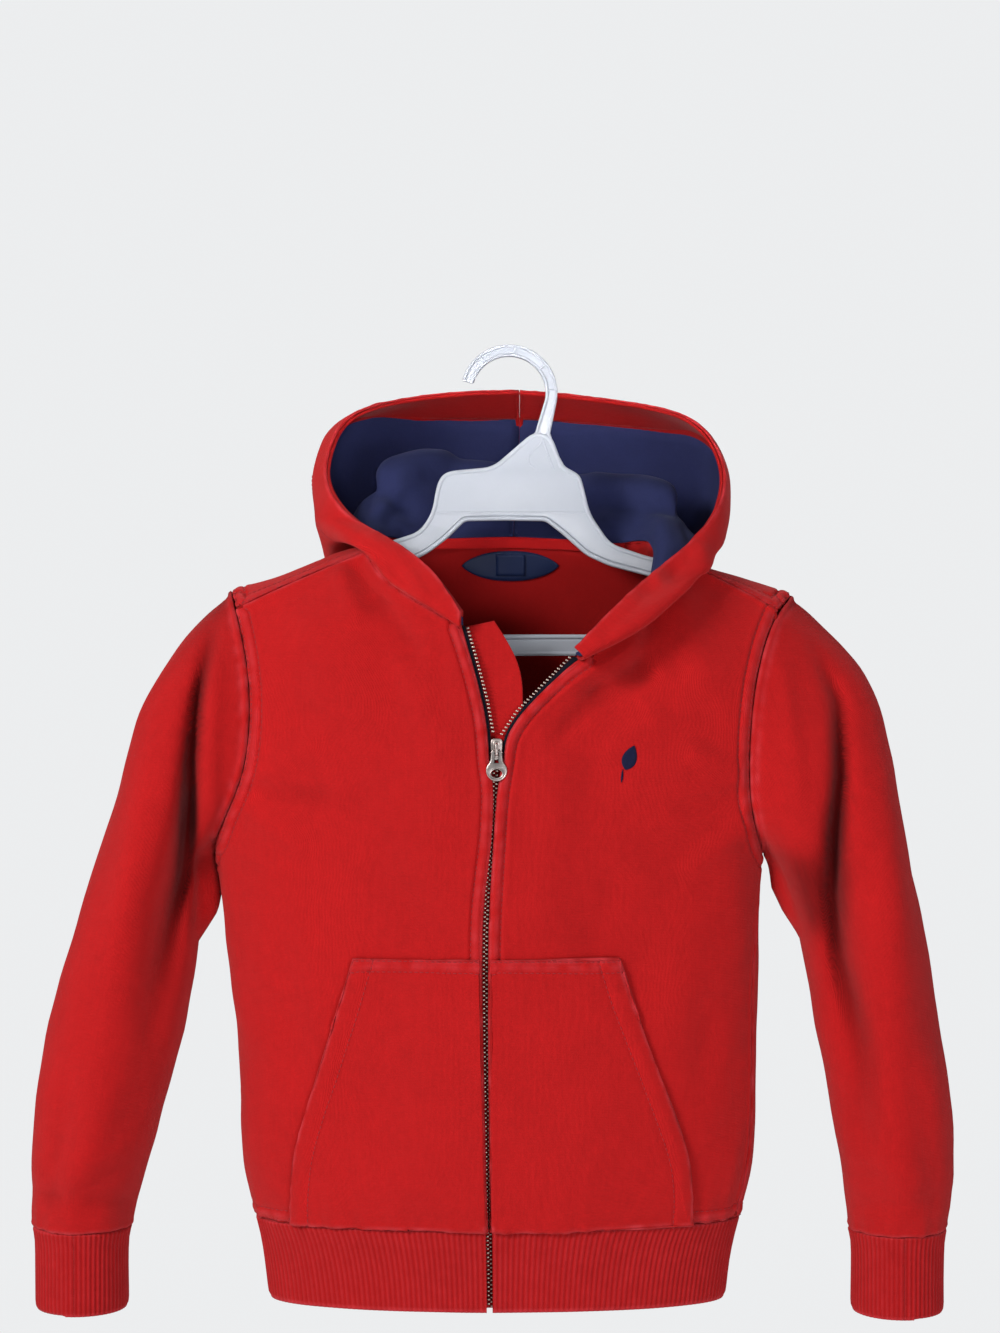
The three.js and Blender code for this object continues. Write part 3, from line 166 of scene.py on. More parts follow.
MERGE_WITHIN, WALL_SLACK, SHARP_CORNER = 0.02, 0.03, 38


def fine_cloth(node, name, wall, levels, outward):
    """A fine copy of a cloth node. outward(points) says which way is out of the garment."""
    source = frame["nodes"][node]
    obj = bpy.data.objects.new(name, source.data.copy())
    bpy.context.scene.collection.objects.link(obj)
    obj.data.materials.clear()
    only(obj)
    bpy.ops.object.mode_set(mode="EDIT")
    bpy.ops.mesh.select_all(action="SELECT")
    bpy.ops.mesh.remove_doubles(threshold=MERGE_WITHIN * mm)
    bpy.ops.mesh.tris_convert_to_quads(face_threshold=math.radians(50), shape_threshold=math.radians(60))
    bpy.ops.object.mode_set(mode="OBJECT")
    bm = bmesh.new()
    bm.from_mesh(obj.data)
    across = {e for e in bm.edges if abs(e.calc_length() / mm - wall) < WALL_SLACK}
    rim = {face for edge in across for face in edge.link_faces}
    outer = bm.verts.layers.float.new("outer")
    hem = bm.verts.layers.float.new("hem")
    crease = bm.edges.layers.float.get("crease_edge") or bm.edges.layers.float.new("crease_edge")
    groups = connected([f for f in bm.faces if f not in rim])
    for group in groups:
        ways = outward(np.array([f.calc_center_median() for f in group]))
        vote = sum(f.calc_area() * f.normal.dot(Vector(way)) for f, way in zip(group, ways))
        if vote > 0:
            for face in group:
                for vert in face.verts:
                    vert[outer] = 1
    sharp = math.radians(SHARP_CORNER)
    for edge in bm.edges:
        kinds = {face in rim for face in edge.link_faces}
        if len(kinds) == 2 or (kinds == {True} and edge.calc_face_angle(0) > sharp):
            edge[crease] = 1
        if len(kinds) == 2:
            for vert in edge.verts:
                vert[hem] = 1
    bm.to_mesh(obj.data)
    bm.free()
    smooth = obj.modifiers.new("smooth", "SUBSURF")
    smooth.levels = smooth.render_levels = levels
    bpy.ops.object.modifier_apply(modifier=smooth.name)
    bpy.ops.object.shade_smooth()
    print(name, len(groups), "faces of cloth,", len(obj.data.polygons), "patches")
    return obj


def points_of(obj, what="co"):
    flat = np.empty(len(obj.data.vertices) * 3)
    obj.data.vertices.foreach_get(what, flat)
    return flat.reshape(-1, 3)


def normals_of(obj):
    return points_of(obj, "normal")


def edges_of(obj):
    """The numbers of each edge's two points."""
    pairs = np.empty(len(obj.data.edges) * 2, dtype=int)
    obj.data.edges.foreach_get("vertices", pairs)
    return pairs.reshape(-1, 2)


def set_points(obj, points):
    obj.data.vertices.foreach_set("co", points.ravel())
    obj.data.update()


def values_of(obj, name):
    flat = np.empty(len(obj.data.vertices))
    obj.data.attributes[name].data.foreach_get("value", flat)
    return flat


def set_values(obj, name, values, kind="FLOAT"):
    layer = obj.data.attributes.get(name) or obj.data.attributes.new(name, kind, "POINT")
    layer.data.foreach_set("value" if kind == "FLOAT" else "vector", np.asarray(values, dtype=float).ravel())


# %% [markdown]
# Four small sums come back all through the script: a direction of length 1, a change with a soft
# start and end, a smooth bump, and a tree that finds the nearest of many points.


# %% Directions, soft steps and bumps
def unit(vectors):
    return vectors / np.maximum(np.linalg.norm(vectors, axis=-1, keepdims=True), 1e-9)


def ease(share):
    return share**2 * (3 - 2 * share)


def bell(value, middle, width):
    return np.exp(-(((value - middle) / width) ** 2))


def search_tree(points):
    tree = kdtree.KDTree(len(points))
    for i, p in enumerate(points):
        tree.insert(p, i)
    tree.balance()
    return tree


print("a soft step from 0 to 1:", [ease(k / 4) for k in range(5)])


# %% [markdown]
# ## Where a point lies on its panel
# Sewing follows a panel's edges, so each point needs its distance to the nearest edge, and which
# point of the edge that is. Points are laid every half millimetre along the outer edges, and a
# search tree finds the nearest one.


# %% Distance to the edges
EDGE_STEP = 0.5


def edge_points(obj):
    """Points every half millimetre along the panel's outer rim."""
    points, hem, outer = points_of(obj), values_of(obj, "hem"), values_of(obj, "outer")
    on_rim = (hem > 0.999) & (outer > 0.999)
    pairs = edges_of(obj)
    pairs = pairs[on_rim[pairs].all(axis=1)]
    rows = []
    for a, b in zip(points[pairs[:, 0]], points[pairs[:, 1]]):
        count = max(1, int(np.linalg.norm(b - a) / (EDGE_STEP * mm)))
        rows.append(a + (b - a) * (np.arange(count)[:, None] / count))
    return np.concatenate(rows)


def nearest_edge(obj, keep=None, rim_of=None):
    """Each point's distance to the rim in millimetres, and the rim's nearest point in metres."""
    rim = edge_points(rim_of or obj)
    if keep is not None:
        rim = rim[keep(rim / mm)]
    tree = search_tree(rim)
    found = [tree.find(p) for p in points_of(obj)]
    return np.array([f[2] for f in found]) / mm, np.array([f[0] for f in found])


def bumps(points, size, seed):
    """Smooth random values, about -1 to 1, that change over a distance of size millimetres."""
    shift = Vector((seed * 7.3, seed * 3.1, seed * 5.7))
    return np.array([noise.noise(Vector(p) / (size * mm) + shift) for p in points]) * 1.6


# %% [markdown]
# ## Which way is out
# Cloth is pushed in and out along the garment's own outward direction, the same on a panel's two
# faces, so that the wall keeps its thickness. On the body this points away from a line down its
# middle, and on a sleeve away from the sleeve's own centre line.

# %% Outward directions
SLEEVE_LINE = {
    "left": [(-176, -200), (-198, -250), (-216, -320), (-232, -380), (-248, -450), (-260, -522),
             (-260, -575)],
    "right": [(160, -200), (184, -250), (202, -320), (217, -380), (227, -450), (231, -524),
              (231, -575)],
}


def sleeve_middle(points, side):
    """The x of the sleeve's centre line at each point's height, in metres."""
    line = np.array(SLEEVE_LINE[side]) * mm
    return np.interp(-points[:, 2], -line[:, 1], line[:, 0])


def out_of_body(points):
    away = points * np.array([0.12, 1.0, 0.0])
    away[:, 2] = np.maximum(0, points[:, 2] + 0.18) * 0.5
    return unit(away)


def out_of_sleeve(side):
    def outward(points):
        across = points[:, 0] - sleeve_middle(points, side)
        return unit(np.stack([across, points[:, 1], np.zeros(len(points))], axis=1))

    return outward


def tree_of(obj):
    """A tree of an object's triangles, for rays and nearest points."""
    corners = points_of(obj)
    obj.data.calc_loop_triangles()
    faces = [tuple(t.vertices) for t in obj.data.loop_triangles]
    return BVHTree.FromPolygons([Vector(p) for p in corners], faces)


def towards(node, sign):
    """Towards a node's surface, or away from it where sign is -1."""
    tree = tree_of(frame["nodes"][node])

    def outward(points):
        near = np.array([tree.find_nearest(Vector(p))[0] for p in points])
        return unit((near - points) * sign)

    return outward


# %% [markdown]
# ## The panels
# Fronts, back, sleeves, hood, pocket halves and the small tapes are made in turn. The hood has
# three layers, so its outside is told by its neighbours: the outer cloth faces away from the
# lining, and the lining's back faces the outer cloth. The wall's thickness in millimetres and the
# number of subdivisions stand beside each name.

# %% Make the fine panels
FLEECE, LIGHT_FLEECE, FACING, THIN = 2.2, 2.0, 1.6, 0.9
panels = {}
for side in ("left", "right"):
    to_outer = towards("hood_outer_" + side, 1)
    for part, piece, wall, levels, outward in (
            ("front_", "cloth_front_", FLEECE, 3, out_of_body),
            ("sleeve_", "cloth_sleeve_", FLEECE, 2, out_of_sleeve(side)),
            ("pocket_", "cloth_pocket_", LIGHT_FLEECE, 3, out_of_body),
            ("hood_outer_", "cloth_hood_", LIGHT_FLEECE, 2, towards("hood_lining_" + side, -1)),
            ("hood_lining_", "lining_hood_", THIN, 2, to_outer),
            ("hood_facing_", "facing_hood_", FACING, 3, to_outer),
            ("zip_tape_", "tape_zip_", THIN, 2, out_of_body)):
        panels[part + side] = fine_cloth(part + side, piece + side, wall, levels, outward)
panels["back"] = fine_cloth("back", "cloth_back", FLEECE, 2, out_of_body)
panels["zip_flap"] = fine_cloth("zip_flap", "cloth_zip_flap", LIGHT_FLEECE, 3, out_of_body)
panels["neck_tape"] = fine_cloth("neck_tape", "tape_neck", THIN, 3, out_of_body)

# %% [markdown]
# ## Names for the edges
# Every seam is sewn in its own way, so a panel's edges are told apart by where they are. A test
# takes points of the rim in millimetres and says which of them belong to the seam.


# %% Which seam an edge point belongs to
def seam_line(p):
    """Height of the shoulder seam at a point's x."""
    return -118 - (np.abs(p[:, 0]) - 85) * 0.425


def is_shoulder(p):
    across = np.abs(p[:, 0])
    return (across > 84) & (across < 167) & (np.abs(p[:, 2] - seam_line(p)) < 6) & (p[:, 1] < 0)


def is_armhole(p):
    return (np.abs(p[:, 0]) > 134) & (p[:, 2] > -299) & ~is_shoulder(p)


def is_hem(p):
    return p[:, 2] < -513


def is_side(p):
    return (np.abs(p[:, 0]) > 105) & (p[:, 2] < -285) & ~is_hem(p) & ~is_armhole(p)


def is_neck(p):
    corner = np.where(p[:, 0] < 0, -164, -182)
    return (np.abs(p[:, 0]) < 86) & (p[:, 2] > corner) & ~is_shoulder(p)


def is_zip_edge(p):
    return ~(is_shoulder(p) | is_armhole(p) | is_hem(p) | is_side(p) | is_neck(p))


def is_sleeve_head(p):
    return p[:, 2] > -400


def is_sleeve_end(p):
    return p[:, 2] < -400


def is_pocket_top(p):
    return p[:, 2] > -357.5


def is_pocket_mouth(p):
    slant = np.where(p[:, 0] < -16, -94 + (p[:, 2] + 356.5) * 0.24, 60.5 - (p[:, 2] + 356.5) * 0.28)
    return (np.abs(p[:, 0] - slant) < 16) & (p[:, 2] < -357.5) & (p[:, 2] > -513)


def is_hood_rim(side):
    tree = tree_of(frame["nodes"]["hood_facing_" + side])

    def test(p):
        near = np.array([tree.find_nearest(Vector(q * mm))[3] for q in p]) / mm
        return (near < 3.0) & (p[:, 2] > -172)

    return test


# %% [markdown]
# ## Softer sleeves
# Subdivision keeps a little of the solid's corners. On the sleeves, whose outline is long and
# plain, each point is moved towards the middle of its neighbours a few times. The rims stay.


# %% Relax the sleeves
def relax(obj, times):
    a, b = edges_of(obj).T
    points, hem = points_of(obj), values_of(obj, "hem") > 0.99
    count = np.bincount(a, minlength=len(points)) + np.bincount(b, minlength=len(points))
    for _ in range(times):
        total = np.zeros_like(points)
        np.add.at(total, a, points[b])
        np.add.at(total, b, points[a])
        mean = total / np.maximum(count, 1)[:, None]
        points = np.where(hem[:, None], points, points * 0.4 + mean * 0.6)
    set_points(obj, points)


for side in ("left", "right"):
    relax(panels["sleeve_" + side], times=14)

# %% [markdown]
# ## Finer cloth where it is sewn
# The seams' grooves are less than a millimetre wide, and the middle of a panel needs far less. So
# only the outer face near an edge is divided further, once or twice, each time in a narrower
# band. The table gives the bands' widths in millimetres.


# %% Refine near the edges
def refine(obj, reaches):
    for reach in reaches:
        far, _ = nearest_edge(obj)
        near = (far < reach) & (values_of(obj, "outer") > 0.99)
        bm = bmesh.new()
        bm.from_mesh(obj.data)
        bm.verts.ensure_lookup_table()
        edges = [e for e in bm.edges if near[e.verts[0].index] and near[e.verts[1].index]]
        bmesh.ops.subdivide_edges(bm, edges=edges, cuts=1, use_grid_fill=True)
        bm.to_mesh(obj.data)
        bm.free()
    only(obj)
    bpy.ops.object.shade_smooth()


REACHES = {
    "front": (13, 9.5), "back": (13, 9.5), "sleeve": (13, 9.5), "pocket": (11,), "zip_flap": (11,),
    "hood_outer": (12, 8), "hood_lining": (10,),
}
for name, obj in panels.items():
    for start, reaches in REACHES.items():
        if name.startswith(start):
            refine(obj, reaches)
    print(name, len(obj.data.polygons), "patches")

# %% [markdown]
# ## What a seam does to the cloth
# At a seam the cloth turns in, so a narrow groove runs along it. Where a twin needle has sewn the
# allowance down, two sunk rows lie 6.35 mm apart with a soft ridge between them. The thread also
# shortens the cloth a little, which leaves small puckers that fade away from the seam.
# Only the panel's outer face gets these. Each profile is a sum of smooth bumps: distance from the
# edge, width and height. Beside the twin rows' distance, the names say how far from the edge the
# first row, the pocket mouth's row and the hood rim's row are sewn.

# %% Seam profiles
TWIN, FIRST_ROW, MOUTH_ROW, RIM_ROW = 6.35, 1.2, 12.0, 24.0
GROOVE = (0.0, 0.8, -0.5)
PROFILE = {
    "plain": [GROOVE, (2.0, 1.4, 0.35)],
    "twin": [GROOVE, (1.3, 0.5, -0.3), (4.3, 2.0, 0.6), (1.1 + TWIN, 0.75, -0.75), (10.0, 1.6, 0.25)],
    "sleeve": [(0.0, 0.6, -0.3), (1.9, 1.3, 0.6), (5.0, 1.8, -0.2)],
    "roll": [(0.0, 1.3, -0.8), (3.1, 2.1, 1.15), (TWIN, 0.95, -1.35), (9.2, 1.8, 0.3)],
    "top": [(0.0, 0.8, -0.6), (1.2, 0.5, -0.25), (4.3, 2.0, 0.5), (FIRST_ROW + TWIN, 0.7, -0.6)],
    "mouth": [(0.0, 1.2, -0.6), (6.0, 3.8, 0.6), (MOUTH_ROW, 0.8, -0.65)],
    "rim": [(0.0, 1.4, -0.6), (RIM_ROW, 0.9, -0.45), (20.0, 3.0, 0.2)],
}
SEWN = {
    "front_left": [("twin", is_armhole), ("plain", is_shoulder), ("plain", is_side), ("top", is_hem),
                   ("plain", is_neck), ("roll", is_zip_edge)],
    "back": [("twin", is_armhole), ("twin", is_shoulder), ("plain", is_side), ("top", is_hem),
             ("top", is_neck)],
    "sleeve_left": [("sleeve", is_sleeve_head), ("plain", is_sleeve_end)],
    "pocket_left": [("top", is_pocket_top), ("mouth", is_pocket_mouth), ("plain", is_hem)],
    "hood_outer_left": [("rim", is_hood_rim("left"))],
    "hood_outer_right": [("rim", is_hood_rim("right"))],
}
for name in ("front", "sleeve", "pocket"):
    SEWN[name + "_right"] = SEWN[name + "_left"]
PUCKER = {
    "plain": 0.16, "twin": 0.34, "sleeve": 0.4, "roll": 0.3, "top": 0.4, "mouth": 0.3, "rim": 0.3,
}


def profile(kind, distance):
    return sum(height * bell(distance, at, width) for at, width, height in PROFILE[kind])


def outer_way(obj):
    """Out of the garment at each point: the normal on the outer face, and its opposite behind."""
    return normals_of(obj) * (2 * values_of(obj, "outer") - 1)[:, None]


# %% [markdown]
# ## Folds and soft unevenness
# Worn fleece is never flat. The table gives the folds that the photograph shows beyond the ones in
# the solid: each runs from one place to another, seen from the front, with a width and a height
# (a negative height is a hollow). Two sizes of smooth noise add the rest.

# %% Fold table
FOLDS = {
    "front_left": [
        (-94, -122, -80, -150, 7, -2.8), (-78, -150, -58, -180, 8, -2.8), (-104, -126, -94, -156, 7, 2.2),
        (-66, -180, -56, -214, 9, 1.8), (-44, -176, -40, -214, 6, -1.2),
        (-120, -160, -106, -215, 13, 1.6), (-150, -250, -118, -232, 7, 1.4),
        (-150, -262, -112, -262, 7, -1.3),
        (-156, -272, -122, -292, 8, 1.5), (-40, -200, -52, -300, 15, 1.3), (-64, -330, -30, -352, 9, -1.0),
        (-136, -330, -128, -420, 12, -1.4), (-95, -230, -80, -330, 16, -1.1),
    ],
    "front_right": [
        (84, -140, 74, -190, 9, -2.8), (28, -197, 76, -172, 9, 2.6), (25, -227, 49, -201, 8, -2.8),
        (49, -202, 78, -188, 8, -2.2), (52, -236, 84, -216, 10, 1.6), (96, -140, 112, -200, 12, 1.8),
        (134, -250, 104, -236, 7, 1.4), (136, -264, 98, -268, 7, -1.4), (138, -280, 104, -304, 8, 1.6),
        (24, -250, 16, -330, 13, 1.2), (118, -330, 112, -430, 12, -1.5), (60, -310, 44, -345, 10, -1.0),
    ],
    "back": [
        (-120, -200, -96, -300, 16, -2.2), (118, -200, 98, -310, 16, -2.0), (-20, -180, -34, -300, 18, 1.6),
        (30, -200, 44, -330, 17, 1.5), (-60, -380, -70, -500, 14, -1.8), (64, -400, 70, -505, 14, -1.6),
        (-140, -300, -118, -420, 12, 1.8), (130, -310, 112, -430, 12, 1.8),
    ],
    "sleeve_left": [
        (-214, -200, -226, -330, 12, 1.6), (-236, -250, -250, -400, 12, -1.0),
        (-176, -190, -178, -262, 5, 2.2), (-240, -440, -262, -500, 9, 1.8),
        (-262, -430, -276, -500, 8, -1.6), (-226, -470, -276, -488, 8, 1.6),
        (-230, -505, -284, -500, 6, -1.5),
    ],
    "sleeve_right": [
        (214, -200, 224, -330, 12, 1.6), (234, -250, 240, -400, 12, -1.0), (158, -190, 166, -262, 5, 2.0),
        (214, -440, 232, -500, 9, 1.8), (236, -430, 248, -500, 8, -1.6), (198, -470, 250, -490, 8, 1.6),
        (204, -507, 256, -502, 6, -1.5),
    ],
    "hood_left": [
        (-80, -122, -62, -143, 6, -1.4), (-60, -132, -52, -148, 4, 1.3),
        (-78, -64, -41, -56, 6, -3.4), (-89, -73, -63, -90, 5, 3.6), (-65, -72, -84, -94, 5, -3.4),
        (-96, -60, -84, -98, 5, 2.6), (-56, -68, -38, -72, 5, 3.0), (-72, -98, -60, -108, 5, -2.0),
        (-30, -62, -6, -60, 6, -2.0), (-46, -80, -20, -84, 6, 2.4),
    ],
    "hood_right": [
        (104, -116, 76, -142, 7, -1.2), (72, -150, 52, -164, 5, -1.0),
        (42, -70, 103, -79, 6, -3.2), (57, -85, 111, -92, 5, 3.4), (55, -98, 74, -140, 7, -3.2),
        (104, -98, 112, -130, 6, 2.6), (88, -96, 92, -132, 6, -2.2), (74, -98, 82, -134, 5, 2.4),
        (20, -62, 46, -66, 6, 2.2), (84, -58, 112, -70, 6, -2.4),
    ],
}


FOLD_FADE = 0.45


def fold_heights(points, rows):
    x, z = points[:, 0] / mm, points[:, 2] / mm
    total = np.zeros(len(points))
    for x0, z0, x1, z1, width, height in rows:
        dx, dz = x1 - x0, z1 - z0
        length = math.hypot(dx, dz)
        along = ((x - x0) * dx + (z - z0) * dz) / length**2
        across = ((x - x0) * dz - (z - z0) * dx) / length
        fade = np.clip((along + 0.3) / FOLD_FADE, 0, 1) * np.clip((1.3 - along) / FOLD_FADE, 0, 1)
        total += height * ease(fade) * bell(across, 0, width)
    return total


# %% [markdown]
# ## The sleeves' deep valleys
# The sleeves hang a little forward and fold on themselves: a deep valley runs down the front of
# each, and the cloth behind it fills the space under the arm. Each row of the first table gives
# a height and the valley's middle, half-width and depth there. The second gives a height and how
# far the cloth swells towards the body.

# %% Valleys
VALLEY = {
    "left": [(-160, -178, 4, 0), (-178, -183, 5, 5), (-205, -189, 6, 12), (-243, -194, 7, 18),
             (-280, -197, 8, 19), (-310, -199, 8, 13), (-340, -204, 7, 6), (-380, -210, 8, 2),
             (-440, -222, 8, 0)],
    "right": [(-170, 176, 4, 0), (-206, 192, 6, 6), (-250, 194, 7, 14), (-285, 192, 8, 16),
              (-320, 190, 8, 13), (-360, 194, 7, 8), (-410, 206, 8, 3), (-470, 214, 8, 0)],
}
FILL = {
    "left": [(-280, 0), (-296, 7), (-318, 13), (-334, 10), (-352, 0)],
    "right": [(-288, 0), (-304, 5), (-320, 8), (-334, 6), (-350, 0)],
}
BODY_GAP = 1.5


def press_valley(points, side):
    z, x, width, depth = np.array(VALLEY[side]).T
    middle, wide, deep = (np.interp(-points[:, 2] / mm, -z, row) for row in (x, width, depth))
    near = np.exp(-np.abs((points[:, 0] / mm - middle) / wide) ** 2.4)
    front = ease(np.clip((4 - points[:, 1] / mm) / 16, 0, 1))
    moved = points.copy()
    moved[:, 1] += deep * near * front * mm
    outward = -1 if side == "left" else 1
    lip = bell(points[:, 0] / mm - middle, outward * wide * 1.2, wide)
    moved[:, 0] -= outward * np.minimum(deep * 0.33, 6) * lip * front * mm
    moved[:, 1] -= np.minimum(deep * 0.1, 1.6) * lip * front * mm
    return moved


def fill_underarm(points, side):
    """Lets the sleeve's back half swell towards the body, but stay clear of it."""
    z, reach = np.array(FILL[side]).T
    sign = 1 if side == "left" else -1
    inner = (points[:, 0] - sleeve_middle(points, side)) * sign / mm
    want = np.interp(-points[:, 2] / mm, -z, reach) * np.clip(inner / 14, 0, 1)
    want = want * np.clip(points[:, 1] / mm / 8 + 1, 0, 1)
    moved = points.copy()
    trees = [tree_of(frame["nodes"][n]) for n in ("back", "front_" + side)]
    for i in np.nonzero(want > 0.2)[0]:
        free = 1.0
        for tree in trees:
            far = tree.ray_cast(Vector(points[i]), Vector((sign, 0, 0)), 0.06)[3]
            free = min(free, far if far is not None else 1.0)
        moved[i, 0] += sign * min(want[i] * mm, max(0.0, free - BODY_GAP * mm))
    return moved


# %% [markdown]
# ## Where a point lies on the flat cloth
# Knitted columns run along the cloth, so the materials need each point's place on the flat piece.
# On the body that is the way round an ellipse, which turns into plain width on the shoulders. On
# a sleeve it is the angle round its centre line.

# %% Places on the flat cloth
BODY_X, BODY_HALF, BODY_DEPTH = -8, 155, 50
YOKE_FOOT, YOKE_TALL = -190, 110
SLEEVE_RADIUS, SLEEVE_LONGER = 38, 1.03
sweep = np.linspace(-math.pi, math.pi, 721)
rate = np.hypot(BODY_HALF * np.cos(sweep), BODY_DEPTH * np.sin(sweep))
ring = np.cumsum(rate) * (sweep[1] - sweep[0])
print("round the body:", round(ring[-1]), "mm")


def flat_of_body(points, facing=-1):
    """Across and up on the flat cloth, for points on the body. Facing is 1 on the back."""
    across = points[:, 0] / mm - BODY_X
    turn = np.arctan2(across / BODY_HALF, facing * points[:, 1] / mm / BODY_DEPTH)
    yoke = np.clip(np.maximum(0, points[:, 2] / mm - YOKE_FOOT) / YOKE_TALL, 0, 1)
    around = np.interp(turn, sweep, ring) * (1 - yoke) + (across + ring[len(ring) // 2]) * yoke
    return np.stack([around * mm, points[:, 2], points[:, 1]], axis=1)


def flat_of_sleeve(points, side):
    angle = np.arctan2(points[:, 0] - sleeve_middle(points, side), -points[:, 1])
    around = angle * SLEEVE_RADIUS * mm
    return np.stack([around, points[:, 2] * SLEEVE_LONGER, np.zeros(len(points))], axis=1)


# %% [markdown]
# ## Fold each panel
# For each panel the folds and the unevenness move both faces, fading out close to the seams so
# that neighbours still meet. How deep each point lies in a fold is kept as the attribute
# `crease`, which paints shade there: the colour is made a little darker in the hollows.


# %% Folds on one panel
def fold_sleeve(points, ways, side, crease):
    """Presses the valley, swells the underarm, and marks the valley and what lies deep between arm and body
    for painted shade.
    """
    before = points
    points = press_valley(points, side)
    # Painted shade in the valley: the deeper the cloth is pressed, the darker its colour.
    crease = np.maximum(crease, np.clip((points[:, 1] - before[:, 1]) / (9 * mm), 0, 1))
    points = fill_underarm(points, side)
    # Painted shade on the forward-facing cloth low between arm and body.
    inner = (points[:, 0] / mm + 194) if side == "left" else (196 - points[:, 0] / mm)
    low = np.exp(-(((points[:, 2] / mm + 322) / 26) ** 4))
    ahead = np.clip(-ways[:, 1] * 2 - 0.4, 0, 1)
    return points, np.maximum(crease, 0.8 * low * ahead * np.clip(inner / 8 + 0.6, 0, 1))


def fold_panel(name, obj, rim_of):
    side, hood, sleeve = name.split("_")[-1], name.startswith("hood"), name.startswith("sleeve")
    points, ways = points_of(obj), outer_way(obj)
    edge_far, _ = nearest_edge(obj, rim_of=rim_of)
    soft = 1.25 * bumps(points, 60, 1) + 0.5 * bumps(points, 24, 2)
    calm = np.clip(edge_far / (16 if hood else 14), 0, 1)
    if name.startswith("pocket"):
        calm = np.ones(len(points))
    if hood:
        soft = soft * 0.8
    rows = FOLDS.get("hood_" + side if hood else name.replace("pocket", "front"), [])
    folds, off_rim = fold_heights(points, rows), np.clip(edge_far / 9, 0, 1)
    heights = ease(calm) * soft + 1.25 * folds * off_rim
    if name == "back":
        heights = np.where(points[:, 1] > -2 * mm, heights, soft * calm)
    if sleeve:
        facing = np.clip(0.2 - points[:, 1] / (16 * mm), 0, 1)
        heights = calm * soft + 1.3 * folds * off_rim * facing
    points = points + ways * heights[:, None] * mm
    # Painted shade: the deeper a hollow, the darker the colour that the attribute crease gives it.
    crease = np.clip((-heights - 2.0) / 8, 0, 0.3)
    if sleeve:
        points, crease = fold_sleeve(points, ways, side, crease)
    set_points(obj, points)
    set_values(obj, "crease", crease)


# %% [markdown]
# ## Press the seams
# Then the seams are pressed into the outer face, with the puckers that the thread draws and the
# gathers where a rib pulls the cloth in. Edges that rub are marked as worn. Below the slider the
# two fronts are drawn together, so their rolled edges move a little towards the zip.

# %% Seams on one panel
PUCKER_SIZE, PUCKER_REACH = 5.5, 8
GATHER_SIZE, GATHER_REACH, GATHER_HEIGHT = 8, 12, 0.9
WORKED_REACH = 40
ZIP_TOP, ZIP_PULLS = -243, 0.55
distance = {}


def press_seams(name, obj):
    points, outer = points_of(obj), values_of(obj, "outer")
    wear, dents = np.zeros(len(points)), np.zeros(len(points))
    for kind, test in SEWN.get(name, []):
        far, near = nearest_edge(obj, test)
        distance[name, test.__name__] = far
        close = far < WORKED_REACH
        ripple, gather = np.zeros(len(points)), np.zeros(len(points))
        ripple[close] = bumps(near[close], PUCKER_SIZE, 3) * bell(far[close], 0, PUCKER_REACH)
        dents += profile(kind, far) + PUCKER[kind] * ripple
        if test in (is_hem, is_sleeve_end):
            level = near[close] * np.array([1, 1, 0.0])
            gather[close] = bumps(level, GATHER_SIZE, 4) * np.exp(-far[close] / GATHER_REACH)
            dents += GATHER_HEIGHT * gather
        wear = np.maximum(wear, bell(far, 0.7, 1.1) * 0.9)
        if kind in ("twin", "roll", "top", "sleeve"):
            wear = np.maximum(wear, 0.45 * bell(far, 4.2, 2.0))
    wear = np.clip(wear * (0.55 + 0.6 * bumps(points, 7, 5)), 0, 1)
    if name.startswith("front"):
        far = distance[name, "is_zip_edge"]
        shift = ZIP_PULLS * bell(far, 0, 3) * ((far < 6) & (points[:, 2] < ZIP_TOP * mm))
        points[:, 0] += (shift if name == "front_left" else -shift) * mm
        set_points(obj, points)
    set_points(obj, points_of(obj) + normals_of(obj) * (dents * outer)[:, None] * mm)
    set_values(obj, "wear", wear)


# %% Shape all the panels
hood_rims = {side: panels["hood_outer_" + side].copy() for side in ("left", "right")}
for rim in hood_rims.values():
    rim.data = rim.data.copy()
for name, obj in panels.items():
    if not name.startswith(("zip_tape", "neck")):
        rim_of = hood_rims.get(name.split("_")[-1]) if name.startswith("hood") else None
        fold_panel(name, obj, rim_of)
        press_seams(name, obj)
neck_tape = panels["neck_tape"]
tape_far, _ = nearest_edge(neck_tape)
puff = 1.3 * np.clip(tape_far / 2.2, 0, 1) ** 0.6 * (1 - values_of(neck_tape, "outer"))
set_points(neck_tape, points_of(neck_tape) + normals_of(neck_tape) * puff[:, None] * mm)

# %% Lay each panel flat
for name, obj in panels.items():
    points = points_of(obj)
    if name.startswith("sleeve"):
        flat = flat_of_sleeve(points, name[7:])
    elif name.startswith("hood"):
        rim_far, _ = nearest_edge(obj, lambda p: p[:, 2] > -125)
        flat = np.stack([rim_far * mm, points[:, 0] * 0.7 + points[:, 2], points[:, 1]], axis=1)
    else:
        flat = flat_of_body(points, 1 if name in ("back", "neck_tape") else -1)
    set_values(obj, "cloth", flat, "FLOAT_VECTOR")
print("panels shaped:", len(panels))

# %% [markdown]
# ## Ribbed waistband and cuffs
# Rib knit stands in upright ridges about 3 mm apart. They are too fine for the panels' patches, so
# the bands are sampled anew: rays shot at the smooth band from outside, in even steps round it,
# give its outline at several heights, and the ridges are added on top.


# %% Closed walls
def new_smooth_mesh(name, points, faces):
    mesh = bpy.data.meshes.new(name)
    mesh.from_pydata(points.reshape(-1, 3).tolist(), [], faces)
    obj = bpy.data.objects.new(name, mesh)
    bpy.context.scene.collection.objects.link(obj)
    only(obj)
    bpy.ops.object.shade_smooth()
    return obj


